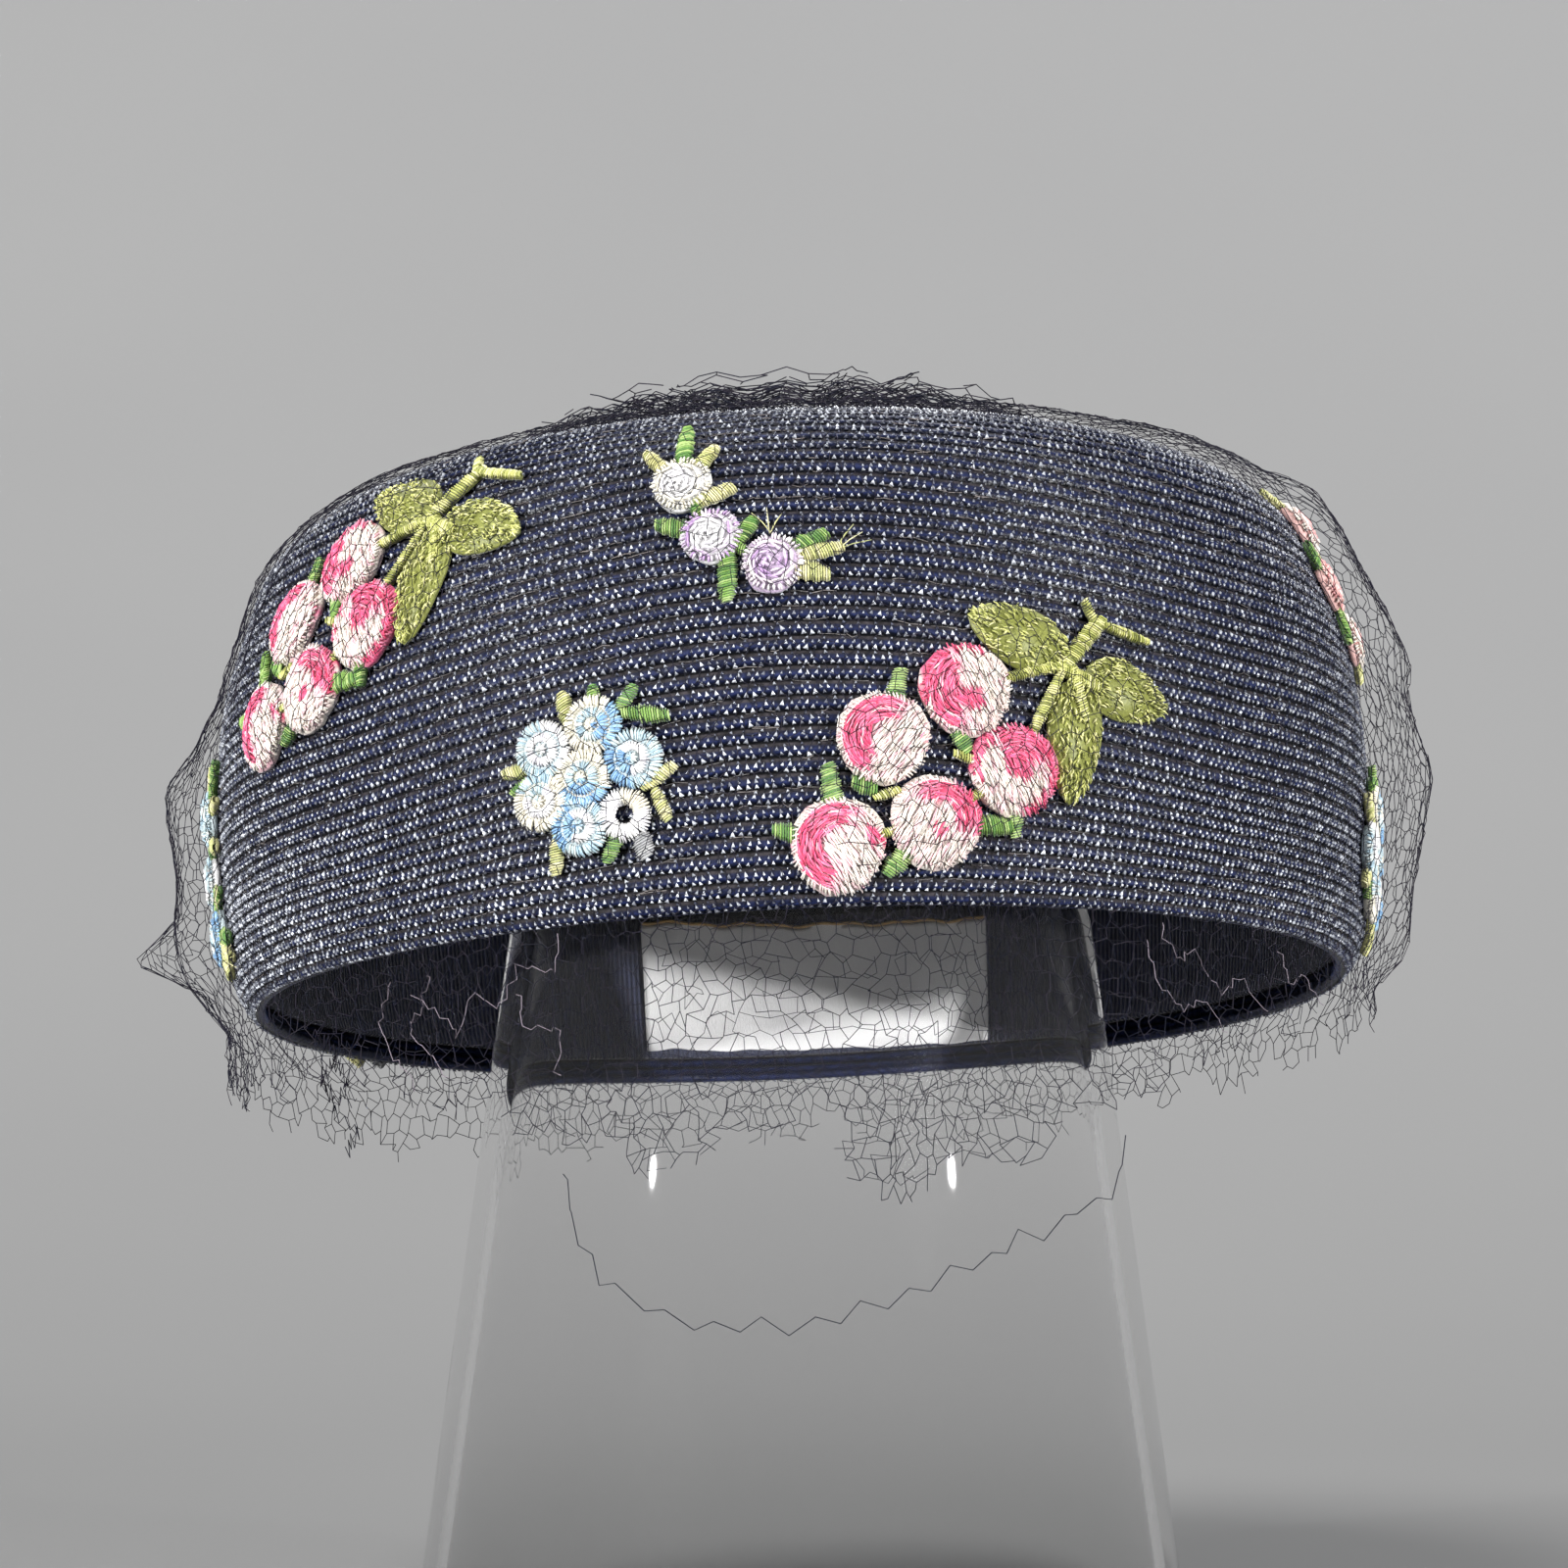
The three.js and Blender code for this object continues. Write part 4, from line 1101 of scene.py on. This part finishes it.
def rosette(threads, centre, radius, look):
    """Rosette of wound bullion rings, or one open loop where it has no inner palette."""
    outer, inner, crescent, (first, last) = look

    def tones(palette):
        def pick(bearing):
            plain = np.array(palette)[rng.integers(0, len(palette), len(bearing))]
            marked = np.array(crescent)[rng.integers(0, len(crescent), len(bearing))]
            return np.where(((bearing - first) % 360 < last - first)[:, None], marked, plain)
        return pick

    if inner is None:
        bullion_ring(threads, centre, radius * 0.6, 1.35, 1.5, tones(outer))
        return

    bullion_ring(threads, centre, radius * 0.78, 0.95, 1.4, tones(outer))
    bullion_ring(threads, centre, radius * 0.4, 0.75, 1.85, tones(inner))
    bullion_ring(threads, centre, radius * 0.1, 0.4, ROSETTE_TOP, tones(outer))
    # The pad is the rosette colour darkened: painted shade in the gaps between stitches
    tone = np.mean(outer, axis=0) * 0.85
    threads.pads.append(dome_pad(centre, radius * 0.84, BLOOM_EDGE, ROSETTE_TOP, tone))


def posy(motif):
    threads = Threads()
    for base, turn, length, width, tones in POSY_LEAVES:
        threads.satin_leaf(base, turn, length, width, tones)
    for place, look in zip(POSY_BLOOMS, POSY_LOOKS):
        rosette(threads, np.array(place) * ROSETTE, ROSETTE / 2 + 0.35, look)
    threads.built(motif, [f"{motif}_leaves", f"{motif}_blooms"])


# Net veil, with each kind of motif's half width and height and the shift of its middle
MOTIF_REACH = {"berry": (20.0, 16.0, 6.0), "sprig": (14.0, 13.0, 0.0), "posy": (12.0, 12.0, 0.0)}
# Shares of the billow up the side: (share of the side, share of the billow)
RIGHT_SHAPE = [(-0.1, 0.45), (0.13, 0.48), (0.36, 1.0), (0.53, 0.6), (0.72, 0.38), (0.85, 0.3), (1.0, 0.15)]
LEFT_SHAPE = [(-0.1, 0.7), (0.05, 0.8), (0.14, 1.0), (0.24, 0.7), (0.37, 0.95), (0.45, 0.4), (0.5, 0.0)]
# The puff over the flat top: (share of its radius, share of its height)
PUFF_SHAPE = [(0, 0.1), (0.15, 0.15), (0.3, 0.5), (0.6, 1.0), (0.92, 0.95), (1.08, 0.4), (1.26, 0.1)]
# How far knots stray from their place: (length, millimetres)
STRAY = [(-LONGEST_HANG, 0.5), (-6, 0.32), (5, 0.12)]
LONGEST_STRAND = 9.0
FOLD_STRAND = 0.055
GATHER_STRAND = 0.1
LOOSE_STRAND = 0.09
PALE_STRAND = 0.065
# Bump at the left: azimuth, share of the side, half width, half height, distance outwards
LEFT_BUMP = (-92, 0.13, 7, 6, 8)
# Where the hanging net is drawn together: azimuth and half width, in degrees
BUNCH_AZIMUTH = 8
BUNCH_WIDTH = 8


def motif_lift(azimuth, length):
    """How far the motifs push the net out, as a smooth hill over each of them."""
    lift = np.zeros(np.broadcast(azimuth, length).shape)
    for name, (centre, share, _) in MOTIFS.items():
        wide, tall, shift = MOTIF_REACH[name.split("_")[0]]
        around = (azimuth - centre + 180) % 360 - 180
        x = np.radians(around) * HALF_WIDTH - shift
        y = length - share * SIDE - shift / 2
        hill = np.clip(1.6 - np.hypot(x / wide, y / tall), 0, 0.6) / 0.6
        lift = np.maximum(lift, hill * hill * (3 - 2 * hill))
    return lift


def net_surface(azimuth, length, folds=0.0):
    """Where the net lies: hugging the crown, over the motifs, billowing at the sides."""
    azimuth, length = np.broadcast_arrays(np.asarray(azimuth, float), np.asarray(length, float))
    side = np.sin(np.radians(azimuth))
    share = length / SIDE
    right, left = read_off(RIGHT_SHAPE, share), read_off(LEFT_SHAPE, share)
    billow = np.where(side > 0, RIGHT_BILLOW * right, LEFT_BILLOW * left) * side**2
    centre, rise, wide, tall, high = LEFT_BUMP
    away = np.hypot((azimuth - centre) / wide, (length - rise * SIDE) / tall)
    billow = billow + high * np.clip(1 - away, 0, 1)
    hug = NET_HUG + (NET_OVER_MOTIF - NET_HUG) * motif_lift(azimuth, length)
    turn = np.radians(azimuth)
    ripple = 0.5 * np.sin(turn * 9 + share * 5) + 0.4 * np.sin(turn * 17 - share * 9)
    fade = 1 - np.clip((length - SIDE) / 6, 0, 1)
    out = hug + billow * fade + (0.3 + 0.12 * billow) * (ripple + 0.9) * 0.5 + folds
    points = on_crown(azimuth, np.minimum(length, SIDE + 20), out)
    top = length > SIDE
    reach = np.clip(TOP_RADIUS - (length - SIDE), 0.5, None)
    puff = read_off(PUFF_SHAPE, reach / PUFF_RADIUS)
    pleat = 0.7 * np.sin(turn * 23 + 1.0) * np.clip(reach / 30, 0.2, 1)
    height = CROWN_HEIGHT + 0.6 + PUFF_HEIGHT * puff + pleat + folds
    gathered = np.stack([reach * np.sin(turn), -reach * np.cos(turn) * OVAL, height], -1)
    blend = np.clip((length - SIDE) / 8, 0, 1)[..., None]
    return np.where(top[..., None], points * (1 - blend) + gathered * blend, points)


def hem_length(azimuth):
    """Length up the hat where the net's ragged hem lies, below the rim and so negative."""
    turn = np.radians(azimuth)
    ragged = 1.6 * np.sin(turn * 31) + 1.2 * np.sin(turn * 57 + 2)
    return -(LONGEST_HANG - 3) * read_off(HEM, azimuth) + ragged


def net_edges(low_length, top_length, columns, layer=0.0, keep=0.985):
    """Strands of a six-sided net as (count, 2, 3) paths between two lengths up the hat."""
    rows = int((top_length - low_length) / NET_ROW)
    j, k = np.meshgrid(np.arange(columns), np.arange(rows + 1))
    azimuth = j * 360 / columns - 180 + rng.normal(0, 0.2, j.shape)
    length = low_length + k * NET_ROW + np.where((j + k) % 2, -0.4, 0.4) + rng.normal(0, 0.28, j.shape)
    turn = np.radians(azimuth)
    crowd = 1.2 * np.sin(turn * 7 + k * 0.05) + 0.8 * np.sin(turn * 13 + 1 - k * 0.1)
    azimuth = azimuth + crowd * (1 + layer)
    off = azimuth - BUNCH_AZIMUTH
    bunch = 0.4 * np.exp(-(off / BUNCH_WIDTH) ** 2) * np.clip((-length - 16) / 14, 0, 1)
    azimuth = azimuth - off * bunch
    azimuth = (azimuth + 180) % 360 - 180
    stray = read_off(STRAY, length)[..., None]
    points = net_surface(azimuth, length, layer) + rng.normal(0, 1, (*j.shape, 3)) * stray
    alive = (length > hem_length(azimuth)) & (rng.random(j.shape) < keep)
    along = alive & np.roll(alive, -1, 1)
    upright = alive[:-1] & alive[1:] & ((j + k) % 2 == 0)[:-1]
    starts = np.concatenate([points[along], points[:-1][upright]])
    ends = np.concatenate([np.roll(points, -1, 1)[along], points[1:][upright]])
    short = np.linalg.norm(starts - ends, axis=1) < LONGEST_STRAND
    return np.stack([starts[short], ends[short]], 1)


DARK_TONES = [(0.006, 0.006, 0.012), (0.012, 0.01, 0.02), (0.02, 0.017, 0.026), (0.004, 0.005, 0.014)]
# Pale tone of net strands below the rim: a painted highlight where they catch the light
LIT_NET_TONES = [(0.26, 0.22, 0.26)]
HAT_MIDDLE = (0.0, 0.0, CROWN_HEIGHT / 2)


def net_piece(name, paths, nodes=(), radius=NET_STRAND, palette=DARK_TONES):
    """One piece from strands of net or thread, each in a tone from the palette."""
    points, faces = tubes(paths, radius, paths - HAT_MIDDLE, caps=False)
    tones = np.array(palette)[rng.integers(0, len(palette), len(paths))]
    colours = np.repeat(tones, 3 * paths.shape[1], 0)
    placed(arrays_piece(name, to_world(points), faces, MATERIALS["net"], colours), nodes)


# Stops of the loose threads: (azimuth, length up the hat, negative below the rim)
LOOSE_THREADS = [
    [(-24, -33), (-23, -42), (-20, -51), (-12, -57), (-5, -58), (3, -57), (10, -53), (16, -49),
     (22, -45), (28, -40), (31, -33)],
    [(-47, -9), (-52, -13), (-49, -16), (-52, -20), (-48, -24), (-50, -27)],
    [(-55, -8), (-51, -12), (-54, -15), (-51, -19)],
]
PALE_THREADS = [
    [(-23.5, 0), (-24, -6), (-28, -4), (-30, -10), (-33, -7), (-35, -13), (-37, -9), (-40, -6)],
    [(-28, -8), (-27.5, -13), (-23.5, -14), (-24, -21)],
    [(-43, -3), (-44.5, -9), (-43, -14), (-41, -17), (-40, -20)],
    [(-38, -3), (-39, -8), (-41, -10), (-38, -15), (-36, -19)],
    [(36, 0), (38, -6), (40, -4), (43, -10), (46, -7), (50, -12)],
    [(34, -3), (35, -9), (38, -13), (41, -11), (44, -16)],
    [(52, -2), (54, -7), (57, -5), (60, -9)],
]


def loose_threads():
    """Broken dark strands below the rim, and strands of the net that hang there, painted pale as a
    highlight.
    """
    def zigzag(stops, wander, count):
        t = np.linspace(0, len(stops) - 1, count)
        azimuth, length = (np.interp(t, np.arange(len(stops)), values) for values in zip(*stops))
        length += np.where(np.arange(count) % 2, wander, -wander) * rng.uniform(0.3, 1.2, count)
        azimuth += rng.normal(0, 0.25, count)
        return net_surface(azimuth, length)[None]

    for number, stops in enumerate(LOOSE_THREADS):
        net_piece(f"loose_thread_{number + 1}", zigzag(stops, 1.3, 34), radius=LOOSE_STRAND)
    for number, stops in enumerate(PALE_THREADS):
        path = zigzag(stops, 0.45, 4 * len(stops))
        net_piece(f"pale_thread_{number + 1}", path, radius=PALE_STRAND, palette=LIT_NET_TONES)


NET_COLUMNS = int(math.tau * HALF_WIDTH / NET_COLUMN) // 2 * 2
TOP_MIDDLE = SIDE + TOP_RADIUS - 5
# Gathered layers on the flat top: (first length, last length, columns, height, share of knots kept)
GATHER_LAYERS = [
    (SIDE, TOP_MIDDLE, 220, 0.0, 0.97),
    (SIDE + 12, TOP_MIDDLE, 150, 1.4, 0.95),
    (SIDE + 15, TOP_MIDDLE, 150, -1.2, 0.95),
    (SIDE + 20, TOP_MIDDLE, 120, 2.4, 0.9),
    (SIDE + 8, SIDE + 36, 170, 0.7, 0.92),
    (SIDE + 16, SIDE + 36, 150, 3.2, 0.85),
]


def veil():
    """The net round the side, a folded layer in front below the rim, and the gathers on top."""
    side = net_edges(-1.2 * LONGEST_HANG, SIDE + 3, NET_COLUMNS)
    front = side[:, :, 1].mean(1) < 0
    net_piece("net_front", side[front], ["veil"])
    net_piece("net_back", side[~front])
    fold = net_edges(-LONGEST_HANG, 2, NET_COLUMNS // 4 * 3, -0.6, 0.85)
    net_piece("net_fold", fold[fold[:, :, 1].mean(1) < -40], radius=FOLD_STRAND)
    layers = [net_edges(*layer) for layer in GATHER_LAYERS]
    net_piece("net_gathers", np.concatenate(layers), radius=GATHER_STRAND)


MATERIALS = {
    "twist": twist_material(),
    "thread": thread_material("embroidery_thread"),
    "net": thread_material("dark_net", 0.6, 0.0, 0.15),
}

camera_and_light()
floor()
stand()
braid_crown = crown()
braid_twists()
sewing_threads()
ribbon = headband()
satin = label()
for number in (1, 2, 3):
    berry_spray(f"berry_spray_{number}")
sprig("sprig_1", ((WHITE, IVORY), (WHITE, LILAC), (LILAC, PALE_LILAC)))
sprig("sprig_2", ((SALMON, CREAM), (SALMON, SALMON), (SALMON, CREAM)))
sprig("sprig_3", ((SKY, SKY), (WHITE, SKY), (SKY, DEEP_SKY)))
sprig("sprig_4", ((LILAC, PALE_LILAC), (WHITE, LILAC), (LILAC, PALE_LILAC)))
for number in (1, 2, 3, 4):
    posy(f"posy_{number}")
veil()
loose_threads()
